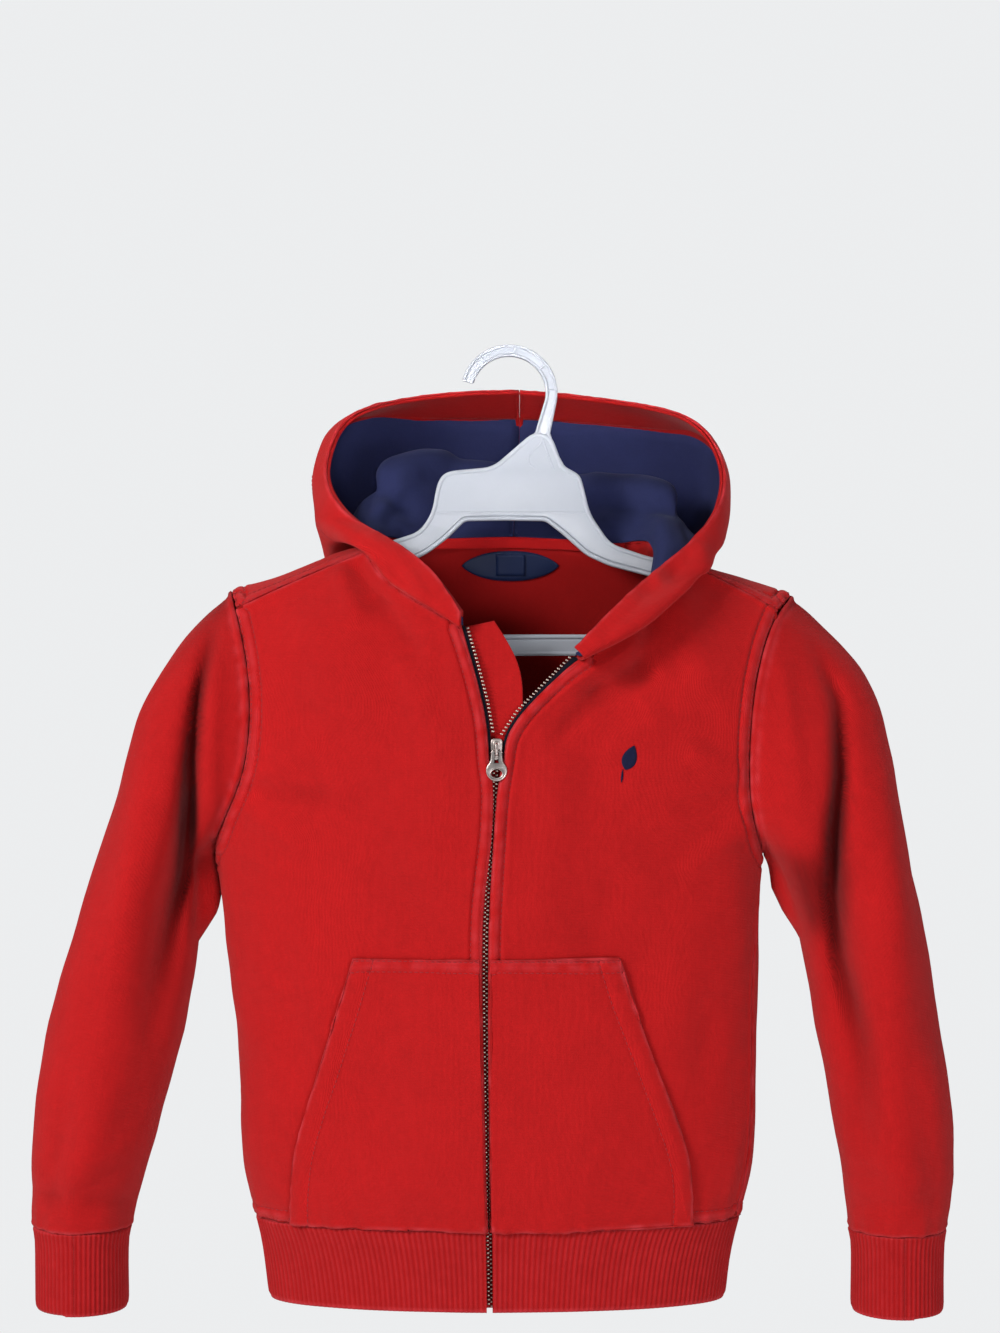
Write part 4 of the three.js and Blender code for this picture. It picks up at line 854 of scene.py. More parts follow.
def closed_wall(name, outside, inside, joined):
    """A closed mesh between two grids of points, rows by columns by 3."""
    rows, columns = outside.shape[:2]
    points = np.concatenate([outside.reshape(-1, 3), inside.reshape(-1, 3)])
    back, end = rows * columns, columns - 1

    def at(layer, j, i):
        return layer * back + j * columns + i % columns

    faces = []
    for j in range(rows - 1):
        for i in range(columns if joined else end):
            faces.append((at(0, j, i), at(0, j, i + 1), at(0, j + 1, i + 1), at(0, j + 1, i)))
            faces.append((at(1, j, i), at(1, j + 1, i), at(1, j + 1, i + 1), at(1, j, i + 1)))
    for i in range(columns if joined else end):
        faces.append((at(0, 0, i), at(1, 0, i), at(1, 0, i + 1), at(0, 0, i + 1)))
        faces.append((at(0, rows - 1, i), at(0, rows - 1, i + 1), at(1, rows - 1, i + 1), at(1, rows - 1, i)))
    if not joined:
        for j in range(rows - 1):
            faces.append((at(0, j, 0), at(0, j + 1, 0), at(1, j + 1, 0), at(1, j, 0)))
            faces.append((at(0, j, end), at(1, j, end), at(1, j + 1, end), at(0, j + 1, end)))
    obj = new_smooth_mesh(name, points, faces)
    bpy.ops.object.mode_set(mode="EDIT")
    bpy.ops.mesh.select_all(action="SELECT")
    bpy.ops.mesh.normals_make_consistent(inside=False)
    bpy.ops.object.mode_set(mode="OBJECT")
    return obj


# %% One ribbed band
RIB_WALL, RIB_PITCH, RIDGE = 3.0, 3.0, 0.42
RAY_START, RAY_LONG = 0.4, 0.39


def even_turns(half, depth, start, stop, step):
    """Angles round an ellipse, evenly spaced along it. Zero is the front's middle."""
    turns = np.linspace(start, stop, 2001)
    halfway = (turns[1:] + turns[:-1]) / 2
    rate = np.hypot(half * np.cos(halfway), depth * np.sin(halfway))
    length = np.concatenate([[0], np.cumsum(rate)]) * abs(turns[1] - turns[0])
    along = np.linspace(0, length[-1], int(length[-1] / step) + 1)
    return np.interp(along, length, turns), along


def sample_band(node, x, way, heights):
    """The smooth band's outline at each height, where rays towards its middle at x meet it."""
    smooth = fine_cloth(node, "smooth_" + node, RIB_WALL, 2, out_of_body)
    tree = tree_of(smooth)
    bpy.data.objects.remove(smooth)
    outside = np.full((len(heights), len(way), 3), np.nan)
    for j, z in enumerate(heights):
        centre = Vector((x * mm, 0, z * mm))
        for i, w in enumerate(way):
            hit = tree.ray_cast(centre + Vector(w) * RAY_START, -Vector(w), RAY_LONG)[0]
            if hit is not None:
                outside[j, i] = hit
    steps, found = np.arange(len(way)), ~np.isnan(outside[..., 0])
    for j, z in enumerate(heights):
        row = min(np.nonzero(found.any(axis=1))[0], key=lambda k: abs(k - j))
        known = found[row]
        filled = [np.interp(steps, steps[known], outside[row][known][:, k]) for k in range(3)]
        outside[j] = np.stack(filled, axis=1)
        outside[j, :, 2] = z * mm
    return outside


def rib_band(name, node, x, half, depth, heights, turns, along, joined):
    """A ribbed copy of a band round the middle x, with rows of points at the given heights."""
    heights, level = np.array(heights), np.zeros(len(turns))
    way = unit(np.stack([half * np.sin(turns), -depth * np.cos(turns), level], axis=1))
    out = unit(np.stack([np.sin(turns) / half, -np.cos(turns) / depth, level], axis=1))
    outline = sample_band(node, x, way, heights)
    wave = np.cos(2 * math.pi * along / RIB_PITCH)
    puff = 1.1 * bell(heights, heights.min(), 2.2) + 0.9 * bell(heights, heights.max(), 1.5)
    lift = RIDGE * wave[None, :] * (1 - 0.6 * (puff > 0.7))[:, None] - puff[:, None] * 0.9
    drift = 0.5 * bumps(outline.reshape(-1, 3), 30, 6).reshape(lift.shape)
    inside = outline - out[None] * (RIB_WALL - 0.1) * mm
    outside = outline + out[None] * ((lift + drift * 0.6 - RIDGE)[..., None] * mm)
    obj = closed_wall(name, outside, inside, joined)
    flat = np.zeros((2, len(heights), len(turns), 3))
    flat[..., 0] = along * mm
    flat[..., 1] = heights[None, :, None] * mm
    crest = np.zeros((2, len(heights), len(turns)))
    crest[0] = (0.5 + 0.5 * wave)[None, :] * 0.35 + 0.5 * (puff > 0.5)[:, None]
    set_values(obj, "cloth", flat.reshape(-1, 3), "FLOAT_VECTOR")
    set_values(obj, "wear", np.clip(crest.ravel() * 0.8, 0, 1))
    set_values(obj, "outer", np.concatenate([np.ones(lift.size), np.zeros(lift.size)]))
    print(name, len(obj.data.polygons), "patches")
    return obj


# %% [markdown]
# The waistband is open at the zip, so its turn starts and ends a little short of the front's
# middle. The cuffs are closed rings. Rows crowd at both ends, where the knit swells.

# %% Waistband and cuffs
WAIST_X, WAIST_HALF, WAIST_DEPTH = -10, 140, 42
WAIST_ROWS = [-515.4, -516.2, -517.5, -520, -527, -535, -543, -551, -558, -561.5, -563.5, -564.6]
CUFF_DOWN = (0.2, 0.9, 2, 4, 9, 16, 24, 32, 39, 44.5, 47.5, 49.2, 50)
turns, along = even_turns(WAIST_HALF, WAIST_DEPTH, -0.044, -2 * math.pi - 0.025, 0.75)
panels["waistband"] = rib_band(
    "rib_waistband", "waistband", WAIST_X, WAIST_HALF, WAIST_DEPTH, WAIST_ROWS, turns, along, False)
turns, along = even_turns(29, 28, 0, 2 * math.pi, 0.7)
for side, x, top in (("left", -260, -521.4), ("right", 231, -523.4)):
    rows = [top - down for down in CUFF_DOWN]
    panels["cuff_" + side] = rib_band(
        "rib_cuff_" + side, "cuff_" + side, x, 29, 28, rows, turns[:-1], along[:-1], True)

# %% [markdown]
# ## Rows of stitches
# Sewing thread shows as short loose dashes, so each row follows a line at one distance from its
# seam, on the shaped cloth. The line is found where the distance crosses its value along the
# mesh's edges. One stitch, a small flat bead, is modelled once and copied along the line.


# %% Find and follow a line on the cloth
JOIN_WITHIN, LEAST_RUN = 3.5, 6
def line_at(obj, far, at):
    """Runs of points, with normals, where the outer face is at one distance from a seam."""
    a, b = edges_of(obj).T
    outer = values_of(obj, "outer") > 0.99
    crossed = outer[a] & outer[b] & ((far[a] - at) * (far[b] - at) < 0)
    a, b = a[crossed], b[crossed]
    share = ((at - far[a]) / (far[b] - far[a]))[:, None]
    points, normals = points_of(obj), normals_of(obj)
    places = points[a] + (points[b] - points[a]) * share
    ways = normals[a] + (normals[b] - normals[a]) * share
    tree = search_tree(places)
    free = set(range(len(places)))
    runs = []
    while free:
        run = [free.pop()]
        for end in (-1, 0):
            while True:
                near = [f for f in tree.find_range(places[run[end]], JOIN_WITHIN * mm) if f[1] in free]
                if not near:
                    break
                found = min(near, key=lambda f: f[2])[1]
                free.remove(found)
                run.insert(len(run) if end else 0, found)
        if len(run) > LEAST_RUN:
            runs.append((places[run], ways[run]))
    return runs


def resample(places, ways, pitch):
    """Places every pitch millimetres along a run, each with its direction and normal."""
    steps = np.linalg.norm(np.diff(places, axis=0), axis=1)
    keep = np.concatenate([[True], steps > 0.15 * mm])
    places, ways = places[keep], ways[keep]
    length = np.concatenate([[0], np.cumsum(np.linalg.norm(np.diff(places, axis=0), axis=1))])
    at = np.arange(pitch * mm / 2, length[-1], pitch * mm)

    def read(values, where):
        return np.stack([np.interp(where, length, values[:, k]) for k in range(3)], axis=1)

    along = unit(read(places, at + 1.2 * mm) - read(places, at - 1.2 * mm))
    out = read(ways, at)
    out = unit(out - along * (out * along).sum(axis=1, keepdims=True))
    return read(places, at), along, out


def repeat(name, model, places, along, out, lift=0.0):
    """One mesh with a copy of the model at each place. The model's X goes along and its Z out."""
    shape = points_of(model)
    side = np.cross(out, along)
    across, up, deep = (shape[None, :, k:k + 1] for k in range(3))
    turned = across * along[:, None] + up * side[:, None] + deep * out[:, None]
    points = (places + out * lift * mm)[:, None] + turned
    faces = [tuple(p.vertices) for p in model.data.polygons]
    count = len(shape)
    all_faces = [tuple(v + k * count for v in face) for k in range(len(places)) for face in faces]
    return new_smooth_mesh(name, points, all_faces)


# %% Model one stitch and copy it along each row
STITCH_PITCH, STITCH_LIFT = 3.2, 0.12
bpy.ops.object.select_all(action="DESELECT")
bpy.ops.mesh.primitive_uv_sphere_add(segments=6, ring_count=4, radius=1.0 * mm, rotation=(0, math.pi / 2, 0))
stitch = bpy.context.object
stitch.scale = (0.26, 0.30, 1.25)
bpy.ops.object.transform_apply()

BOTH_ROWS = (FIRST_ROW, FIRST_ROW + TWIN)
ROWS = {
    "front_left": [(is_armhole, BOTH_ROWS), (is_zip_edge, (TWIN,)), (is_hem, BOTH_ROWS)],
    "back": [(is_armhole, BOTH_ROWS), (is_shoulder, BOTH_ROWS), (is_hem, BOTH_ROWS),
             (is_neck, (FIRST_ROW,))],
    "pocket_left": [(is_pocket_top, BOTH_ROWS), (is_pocket_mouth, (MOUTH_ROW,))],
    "hood_outer_left": [(SEWN["hood_outer_left"][0][1], (RIM_ROW,))],
    "hood_outer_right": [(SEWN["hood_outer_right"][0][1], (RIM_ROW,))],
}
ROWS["front_right"] = ROWS["front_left"]
ROWS["pocket_right"] = ROWS["pocket_left"]
rows_of = {}
for name, rows in ROWS.items():
    parts = []
    for test, offsets in rows:
        for at in offsets:
            for run in line_at(panels[name], distance[name, test.__name__], at):
                parts.append(resample(*run, STITCH_PITCH))
    places, along, out = (np.concatenate([p[k] for p in parts]) for k in range(3))
    rows_of[name] = repeat("stitches_" + name, stitch, places, along, out, STITCH_LIFT)
    print(name, len(places), "stitches")

# %% [markdown]
# ## Cloth inside the seams
# Between two sewn panels the turned-in allowances fill the seam. Without them one could look
# through the narrow gap. A thin roll of the same cloth lies in each seam, just under the surface:
# a curve with a round section along the part of the rim that is near the neighbour.


# %% Rolls in the seams
SEAM_WIDTH, ROLL_PITCH, ROLL_LINE = 3.4, 2.0, 0.35
ROLL_RADIUS = {"hood_lining": 1.1, "hood_facing": 1.1, "hood_outer": 1.5}
PLAIN_ROLL = 1.05


def beside(*neighbours):
    trees = [tree_of(frame["nodes"][n]) for n in neighbours]

    def test(p):
        near = [[tree.find_nearest(Vector(q * mm))[3] for q in p] for tree in trees]
        return np.min(near, axis=0) < SEAM_WIDTH * mm

    return test


SEAMS = {
    "front_left": ("sleeve_left", "back", "waistband", "hood_outer_left"),
    "front_right": ("sleeve_right", "back", "waistband", "hood_outer_right"),
    "back": ("sleeve_left", "sleeve_right", "waistband", "hood_outer_left", "hood_outer_right"),
    "hood_outer_left": ("hood_outer_right",), "hood_outer_right": ("hood_outer_left",),
    "hood_facing_left": ("hood_facing_right",), "hood_facing_right": ("hood_facing_left",),
    "hood_lining_left": ("hood_lining_right",), "hood_lining_right": ("hood_lining_left",),
    "sleeve_left": ("cuff_left",), "sleeve_right": ("cuff_right",),
}
rolls = {}
for name, neighbours in SEAMS.items():
    far, _ = nearest_edge(panels[name], beside(*neighbours))
    curve = bpy.data.curves.new("roll", "CURVE")
    curve.dimensions = "3D"
    thick = ROLL_RADIUS.get(name.rsplit("_", 1)[0], PLAIN_ROLL)
    curve.bevel_depth = thick * mm
    curve.bevel_resolution = 1
    curve.use_fill_caps = True
    for places, ways in line_at(panels[name], far, ROLL_LINE):
        places, along, out = resample(places, ways, ROLL_PITCH)
        spline = curve.splines.new("POLY")
        spline.points.add(len(places) - 1)
        for knot, p in zip(spline.points, places - out * (thick - 0.05) * mm):
            knot.co = (*p, 1)
    roll = bpy.data.objects.new("seam_roll_" + name, curve)
    bpy.context.scene.collection.objects.link(roll)
    only(roll)
    bpy.ops.object.convert(target="MESH")
    bpy.ops.object.shade_smooth()
    rolls[name] = bpy.context.object
    print(name, len(rolls[name].data.polygons), "faces in seam rolls")

# %% [markdown]
# ## Zip teeth
# A metal zip of this size has one tooth every 2.54 mm on each side. On the open part each side
# shows its own row, set here with a tooth every 2.3 mm. Where the zip is closed the two rows mesh,
# so a tooth comes every 1.27 mm. The solid's plain strips tell where the rows run: each of their
# cross-sections gives a middle, the direction across the tape and the direction out of the cloth.


# %% Cross-sections of a strip
def sections(node):
    bm = bmesh.new()
    bm.from_mesh(frame["nodes"][node].data)
    bmesh.ops.remove_doubles(bm, verts=bm.verts, dist=MERGE_WITHIN * mm)
    corners = [np.array(v.co) for v in bm.verts]
    bm.free()
    rows = []
    while corners:
        first = corners.pop()
        near = sorted(corners, key=lambda c: np.linalg.norm(c - first))[:3]
        corners = [c for c in corners if not any(c is n for n in near)]
        out, across = near[0] - first, near[1] - first
        out = out * np.sign(out @ np.array([0, -1, 0]))
        across = across * np.sign(across[0])
        rows.append((first + near[0] + near[1] + near[2], across, out))
    rows.sort(key=lambda r: r[0][2])
    middles = np.array([r[0] for r in rows]) / 4
    return middles, np.array([r[1] for r in rows]), np.array([r[2] for r in rows])


def along_strip(node, pitch, start=0.0):
    middles, across, out = sections(node)
    length = np.concatenate([[0], np.cumsum(np.linalg.norm(np.diff(middles, axis=0), axis=1))])
    at = np.arange((start + 0.8) * mm, length[-1] - 0.4 * mm, pitch * mm)

    def read(values):
        return np.stack([np.interp(at, length, values[:, k]) for k in range(3)], axis=1)

    return read(middles), unit(read(across)), unit(read(out))


# %% Model one tooth and set the rows
def new_cube(name, place, size):
    bpy.ops.object.select_all(action="DESELECT")
    bpy.ops.mesh.primitive_cube_add(size=1, location=[c * mm for c in place])
    obj = bpy.context.object
    obj.name = name
    obj.scale = [c * mm for c in size]
    bpy.ops.object.transform_apply()
    return obj


def pick_faces(obj, test):
    """Selects the faces whose middle and normal pass a test, in edit mode."""
    bpy.ops.mesh.select_all(action="DESELECT")
    bm = bmesh.from_edit_mesh(obj.data)
    for face in bm.faces:
        face.select = bool(test(face.calc_center_median() / mm, face.normal))
    bm.select_flush_mode()
    bmesh.update_edit_mesh(obj.data)


OPEN_PITCH, CLOSED_PITCH = 2.3, 1.27
tooth = new_cube("tooth", (-0.35, 0, 0), (1.7, 1.0, 1.6))
bpy.ops.object.mode_set(mode="EDIT")
pick_faces(tooth, lambda c, n: n.x > 0.9)
bpy.ops.mesh.extrude_region_move(TRANSFORM_OT_translate={"value": (0.85 * mm, 0, 0)})
bpy.ops.transform.resize(value=(1, 0.62, 0.8), center_override=(0.4 * mm, 0, 0))
bpy.ops.mesh.select_all(action="SELECT")
bpy.ops.mesh.bevel(offset=0.16 * mm, segments=1)
bpy.ops.object.mode_set(mode="OBJECT")
zip_rows = {}
for side, sign in (("left", 1), ("right", -1)):
    places, across, out = along_strip("zip_teeth_" + side, OPEN_PITCH, 0.6)
    zip_rows["zip_teeth_" + side] = repeat(
        "teeth_open_" + side, tooth, places, across * sign, out, -0.05)
    print(side, len(places), "open teeth")
places, across, out = along_strip("zip_chain", CLOSED_PITCH)
turns = np.where(np.arange(len(places)) % 2, 1.0, -1.0)[:, None]
zip_rows["zip_chain"] = repeat(
    "teeth_closed", tooth, places - across * turns * 0.6 * mm, across * turns, out, 0.0)
print(len(places), "closed teeth")

# %% [markdown]
# ## Flat pieces from outlines
# The hanger, the slider and its pull are flat shapes with a thickness. A filled 2D curve gives
# exactly that: an outline with holes, extruded both ways and with a rounded edge. A curve that
# isn't filled gives a rib instead, a wall of rounded section that follows a line.


# %% Curve helpers
def rounded(points, closed=True, steps=4, radius=4.0):
    """The line through points with each corner rounded, never by more than radius millimetres."""
    points = np.array(points, dtype=float)
    count = len(points)
    out = []
    for i, corner in enumerate(points):
        if not closed and i in (0, count - 1):
            out.append(corner)
            continue
        before, after = points[i - 1] - corner, points[(i + 1) % count] - corner
        long_before, long_after = np.linalg.norm(before), np.linalg.norm(after)
        start = corner + before / long_before * min(radius, long_before * 0.45)
        end = corner + after / long_after * min(radius, long_after * 0.45)
        for t in np.arange(steps + 1) / steps:
            out.append(start * (1 - t) ** 2 + corner * 2 * t * (1 - t) + end * t**2)
    return out


def flat_piece(name, outlines, y, thick, edge=0.0, width=None, closed=True):
    """Drawn in X and Z in millimetres, thick about y. With a width it is a rib along the line."""
    curve = bpy.data.curves.new(name, "CURVE")
    curve.dimensions = "2D"
    curve.fill_mode = "NONE" if width else "BOTH"
    depth = width / 2 if width else edge
    curve.bevel_depth = depth * mm
    curve.bevel_resolution = 2
    curve.extrude = max(thick / 2 - depth, 0.02) * mm
    curve.offset = 0 if width else -edge * mm
    for points in outlines:
        spline = curve.splines.new("POLY")
        spline.points.add(len(points) - 1)
        for knot, (x, z) in zip(spline.points, points):
            knot.co = (x * mm, z * mm, 0, 1)
        spline.use_cyclic_u = closed
    obj = bpy.data.objects.new(name, curve)
    bpy.context.scene.collection.objects.link(obj)
    obj.rotation_euler = (math.pi / 2, 0, 0)
    obj.location = (0, y * mm, 0)
    only(obj)
    bpy.ops.object.convert(target="MESH")
    obj = bpy.context.object
    bpy.ops.object.transform_apply()
    bpy.ops.object.mode_set(mode="EDIT")
    bpy.ops.mesh.select_all(action="SELECT")
    bpy.ops.mesh.remove_doubles(threshold=0.01 * mm)
    open_ends = any(len(e.link_faces) == 1 for e in bmesh.from_edit_mesh(obj.data).edges)
    if open_ends:
        bpy.ops.mesh.select_all(action="DESELECT")
        bpy.ops.mesh.select_mode(type="EDGE")
        bpy.ops.mesh.select_non_manifold(extend=False, use_wire=False, use_boundary=True)
        bpy.ops.mesh.edge_face_add()
        bpy.ops.mesh.select_all(action="SELECT")
    bpy.ops.mesh.normals_make_consistent(inside=False)
    bpy.ops.object.mode_set(mode="OBJECT")
    bpy.ops.object.shade_smooth_by_angle(angle=math.radians(35))
    return obj


def join(name, pieces):
    bpy.ops.object.select_all(action="DESELECT")
    for piece in pieces:
        piece.select_set(True)
    bpy.context.view_layer.objects.active = pieces[0]
    bpy.ops.object.join()
    pieces[0].name = name
    return pieces[0]


def arc(x, z, radius, start, stop, count=24):
    turns = np.radians(np.linspace(start, stop, count))
    return [(x + radius * math.cos(t), z + radius * math.sin(t)) for t in turns]


# %% [markdown]
# ## Hanger
# The hanger is moulded in one piece from white plastic. A thin web is framed by raised rims, and
# ribs stiffen the neck, as on any moulded hanger. The hook is an I-section: two rims with small
# panels between them, divided by three cross ribs.


# %% Hanger
def arm_top(x):
    return (x, -79.5 - 0.012 * x - 0.348 * math.hypot(x, 25) - 5)


HANGER_EDGE = [
    (12, -45), (-12.7, -66.3), (-38.6, -68.7), (-43.5, -71.5), (-46.4, -77.1), (-49.4, -94),
    (-57, -105.4), arm_top(-75), arm_top(-100), arm_top(-125), arm_top(-146), (-151, -137),
    (-153, -146), (-150, -160), (-142, -172), (-129, -179), (-114, -180), (0, -180), (114, -180),
    (129, -179), (142, -173), (150, -162), (153, -149), (151, -141), arm_top(146), arm_top(125),
    (100, -124), (80, -120), (58, -112.5), (45.8, -94.6), (41.6, -77.1), (40, -72), (36.7, -69.3),
    (29.5, -65.7), (22.5, -47),
]
HANGER_HOLE = [
    (-30.7, -96), (-5, -95.6), (20, -96), (31, -104.5), (45, -117), (58, -123), (100, -134), (138, -145.5),
    (143, -150), (140, -160), (133, -167), (120, -170), (0, -170), (-120, -170), (-133, -166), (-140, -158),
    (-142, -148), (-137, -142), (-100, -131.5), (-62, -120), (-53, -115.5), (-42, -107.2),
]
HOOK_X, HOOK_Z = -3, -21.8
OUTER_RADIUS, INNER_RADIUS = 28.3, 23.0


def inwards(points, by):
    """A closed outline moved by a distance to its left, which is inwards when it runs that way."""
    points = np.array(points)
    ahead = unit(np.roll(points, -1, axis=0) - np.roll(points, 1, axis=0))
    return points + np.stack([-ahead[:, 1], ahead[:, 0]], axis=1) * by


def hook_arc(radius, start, stop, count=24):
    return arc(HOOK_X, HOOK_Z, radius, start, stop, count)


edge_line, hole_line = rounded(HANGER_EDGE, radius=6), rounded(HANGER_HOLE, radius=3.5)
hook_web = hook_arc(28.6, 165, -10) + [(20.6, -48), (13.6, -48)] + hook_arc(22.6, -10, 165)
outer_rim = hook_arc(OUTER_RADIUS, 163, -10, 30) + [(20.9, -46), (24, -56), (29, -65)]
inner_rim = [(-9, -65), (4, -54), (13.6, -46)] + hook_arc(INNER_RADIUS, -10, 163, 30)
pieces = [
    flat_piece("web", [edge_line, hole_line], 0, 3.6, 0.5),
    flat_piece("frame_rim", [inwards(edge_line, 1.5), inwards(hole_line, -1.5)], 0, 4.8, width=2.8),
    flat_piece("hook_web", [hook_web], 0, 2.0, 0.3),
    flat_piece("hook_rims", [outer_rim, inner_rim], 0, 4.4, width=1.9, closed=False),
]
for angle in (128, 82, 38, 4):
    rib = [hook_arc(radius, angle, angle, 1)[0] for radius in (23.5, 25.6, 27.8)]
    pieces.append(flat_piece("cross_rib", [rib], 0, 3.8, width=1.3, closed=False))
NECK_RIBS = [
    [(17.5, -46), (16.8, -52), (11, -57), (8.4, -60.5), (9.2, -65), (12.4, -67)],
    [(17.5, -50), (21, -60), (24, -68)],
    [(21.3, -48), (24.6, -58), (27.8, -67)],
    [(-48, -93.9), (-20, -93.4), (10, -93.4), (45, -93.9)],
]
for line in NECK_RIBS:
    pieces.append(flat_piece("neck_rib", [rounded(line, False)], 0, 4.2, width=1.3, closed=False))
hanger = join("hanger_plastic", pieces)
print("hanger", len(hanger.data.polygons), "faces")

# %% [markdown]
# ## Slider and pull
# The slider is die cast: a front plate wider at the top, a back plate, and a loop in front that
# holds the pull. The pull is a flat tab that widens to a ring, with a raised border all round.

# %% Slider
SLIDER_X, SLIDER_Y = -10.4, -50.0


def wedge(top, bottom, high, low, cut):
    x = SLIDER_X
    return [
        (x - top + cut, high), (x + top - cut, high), (x + top, high - cut), (x + bottom, low + cut),
        (x + bottom - cut, low), (x - bottom + cut, low), (x - bottom, low + cut), (x - top, high - cut),
    ]


plate = [rounded(wedge(3.6, 2.9, -228.2, -240.8, 1.3), True, 3)]
ridge = [rounded(wedge(2.2, 1.7, -229.6, -239.6, 1.0), True, 3)]
slider_parts = [
    flat_piece("front_plate", plate, SLIDER_Y - 0.5, 1.0, 0.35),
    flat_piece("plate_ridge", ridge, SLIDER_Y - 1.1, 0.8, 0.3),
    flat_piece("core", [wedge(1.4, 1.4, -228.8, -240, 0.3)], SLIDER_Y + 1, 2.4, 0.2),
    flat_piece("back_plate", plate, SLIDER_Y + 2.4, 1.2, 0.4),
]
loop = [(-0.2, -231.0), (2.6, -231.0), (3.5, -232.0), (3.55, -237.0), (2.6, -238.0), (-0.2, -238.0)]
bridge = flat_piece("bridge", [rounded(loop, False, 5)], 0, 1.6, width=1.0, closed=False)
bridge.rotation_euler = (0, 0, -math.pi / 2)
bridge.location = (SLIDER_X * mm, (SLIDER_Y - 2.0) * mm, 0)
only(bridge)
bpy.ops.object.transform_apply()
slider = join("slider_body", slider_parts + [bridge])

# %% Pull tab
HINGE_Z, RING_Z, EYE_Z, SLOT_Z, PULL_Y = -235.75, -246.8, -248.4, -242.3, -53.5
x = SLIDER_X
tab_top = [(x - 2.4, HINGE_Z + 0.65), (x + 2.4, HINGE_Z + 0.65), (x + 3.15, HINGE_Z), (x + 3.35, -240.5)]
tab_foot = [(x - 3.35, -240.5), (x - 3.15, HINGE_Z)]
tab_edge = rounded(tab_top + arc(x, RING_Z, 6.1, 48, -228, 22) + tab_foot, True, 2)
slot = [(x - 1.25, HINGE_Z - 0.65), (x - 1.25, SLOT_Z), (x + 1.25, SLOT_Z), (x + 1.25, HINGE_Z - 0.65)]
eye_turns = np.linspace(0, -2 * math.pi, 25)[:-1]
eye = [(x + 3.8 * math.cos(t), EYE_Z + 3.1 * math.sin(t)) for t in eye_turns]
pull = join("pull_tab", [
    flat_piece("tab", [tab_edge, slot, eye], PULL_Y, 0.9, 0.2),
    flat_piece("tab_border", [inwards(tab_edge, -0.5)], PULL_Y, 1.2, width=0.8),
    flat_piece("eye_border", [inwards(eye, -0.3)], PULL_Y, 1.15, width=0.6),
])
print("slider and pull", len(slider.data.polygons), len(pull.data.polygons), "faces")

# %% [markdown]
# ## Label and embroidered leaf
# The neck label is an oval of satin with a small blank tab for the size. The chest carries a small
# plain leaf, embroidered in navy thread: a low pad. Both follow the cloth, because each point of
# their outlines is shot onto the panel below, from the front.

# %% Shoot points onto the cloth
front_tree = tree_of(panels["front_right"])
back_tree = tree_of(panels["back"])


def on_front(x, z, lift):
    hit, normal, _, _ = front_tree.ray_cast(Vector((x * mm, -0.3, z * mm)), Vector((0, 1, 0)))
    return np.array(hit + normal * lift * mm)



def on_inside(x, z, lift):
    """On the back's inside, seen from the front."""
    hit = back_tree.ray_cast(Vector((x * mm, 0, z * mm)), Vector((0, 1, 0)))[0]
    return np.array((x * mm, hit.y - lift * mm, z * mm))


# %% Label
LABEL_X, LABEL_Z, LABEL_HALF, LABEL_TALL = -2, -124.5, 29.8, 8.9
label_rows = [np.zeros((33, 9, 3)), np.zeros((33, 9, 3))]
for j, u in enumerate(np.linspace(-1, 1, 33)):
    half = LABEL_TALL * (1 - abs(u) ** 2.3) ** 0.8 + 0.25
    for i, v in enumerate(np.linspace(-1, 1, 9)):
        x, z = LABEL_X + LABEL_HALF * u, LABEL_Z + v * half
        label_rows[0][j, i] = on_inside(x, z, 1.4 - 0.3 * v * v)
        label_rows[1][j, i] = on_inside(x, z, 0.6)
label = closed_wall("label_oval", *label_rows, False)
tab_grid = [[(x, z) for x in np.linspace(-10.8, 7.2, 10)] for z in np.linspace(-117.6, -130.5, 8)]
size_rows = [np.array([[on_inside(x, z, lift) for x, z in row] for row in tab_grid])
             for lift in (2.1, 1.45)]
size_tab = closed_wall("size_tab", *size_rows, False)
print("label", len(label.data.polygons), "faces")


# %% Leaf
def leaf_blade(middle, length, width, tilt, count=26, across=9):
    top, low = np.zeros((2, count, across, 3))
    for j, u in enumerate(np.linspace(-1, 1, count)):
        half = width / 2 * max(0.04, (1 - u * u)) ** 0.8 * (1 - 0.25 * u)
        for i, v in enumerate(np.linspace(-1, 1, across)):
            across_by, along_by = v * half, u * length / 2
            x = middle[0] + across_by * math.cos(tilt) - along_by * math.sin(tilt)
            z = middle[1] + across_by * math.sin(tilt) + along_by * math.cos(tilt)
            pad = 0.75 * (1 - v * v) * (0.45 + 0.55 * min(1, abs(v) * 3)) + 0.15
            top[j, i] = on_front(x, z, pad)
            low[j, i] = on_front(x, z, -0.3)
    return closed_wall("blade", top, low, False)


leaf = join("leaf_motif", [
    leaf_blade((67.2, -239.5), length=15, width=8.5, tilt=-0.35),
    leaf_blade((62.7, -250.0), length=8, width=1.3, tilt=-0.1),
])
print("leaf", len(leaf.data.polygons), "faces")

# %% [markdown]
# ## Effects shared by several materials
# Three effects come back in many finishes, so each is a node group. "Knit" draws the upright
# columns of knitted loops from a piece's flat cloth position. "Dye" varies a colour softly, fades
# it where a mask says it is worn, and adds a fine mix of light and dark fibres. "Fuzz" is the
# uneven surface of brushed cotton.


# %% Node helpers
def feed(tree, made, inputs):
    """Fills a node's inputs: a socket is linked, and any other value is set on the input."""
    for key, value in inputs.items():
        if isinstance(value, bpy.types.NodeSocket):
            tree.links.new(value, made.inputs[key])
        else:
            made.inputs[key].default_value = value
    return made


def node(tree, kind, inputs=None, **settings):
    made = tree.nodes.new("ShaderNode" + kind)
    for key, value in settings.items():
        setattr(made, key, value)
    return feed(tree, made, inputs or {})


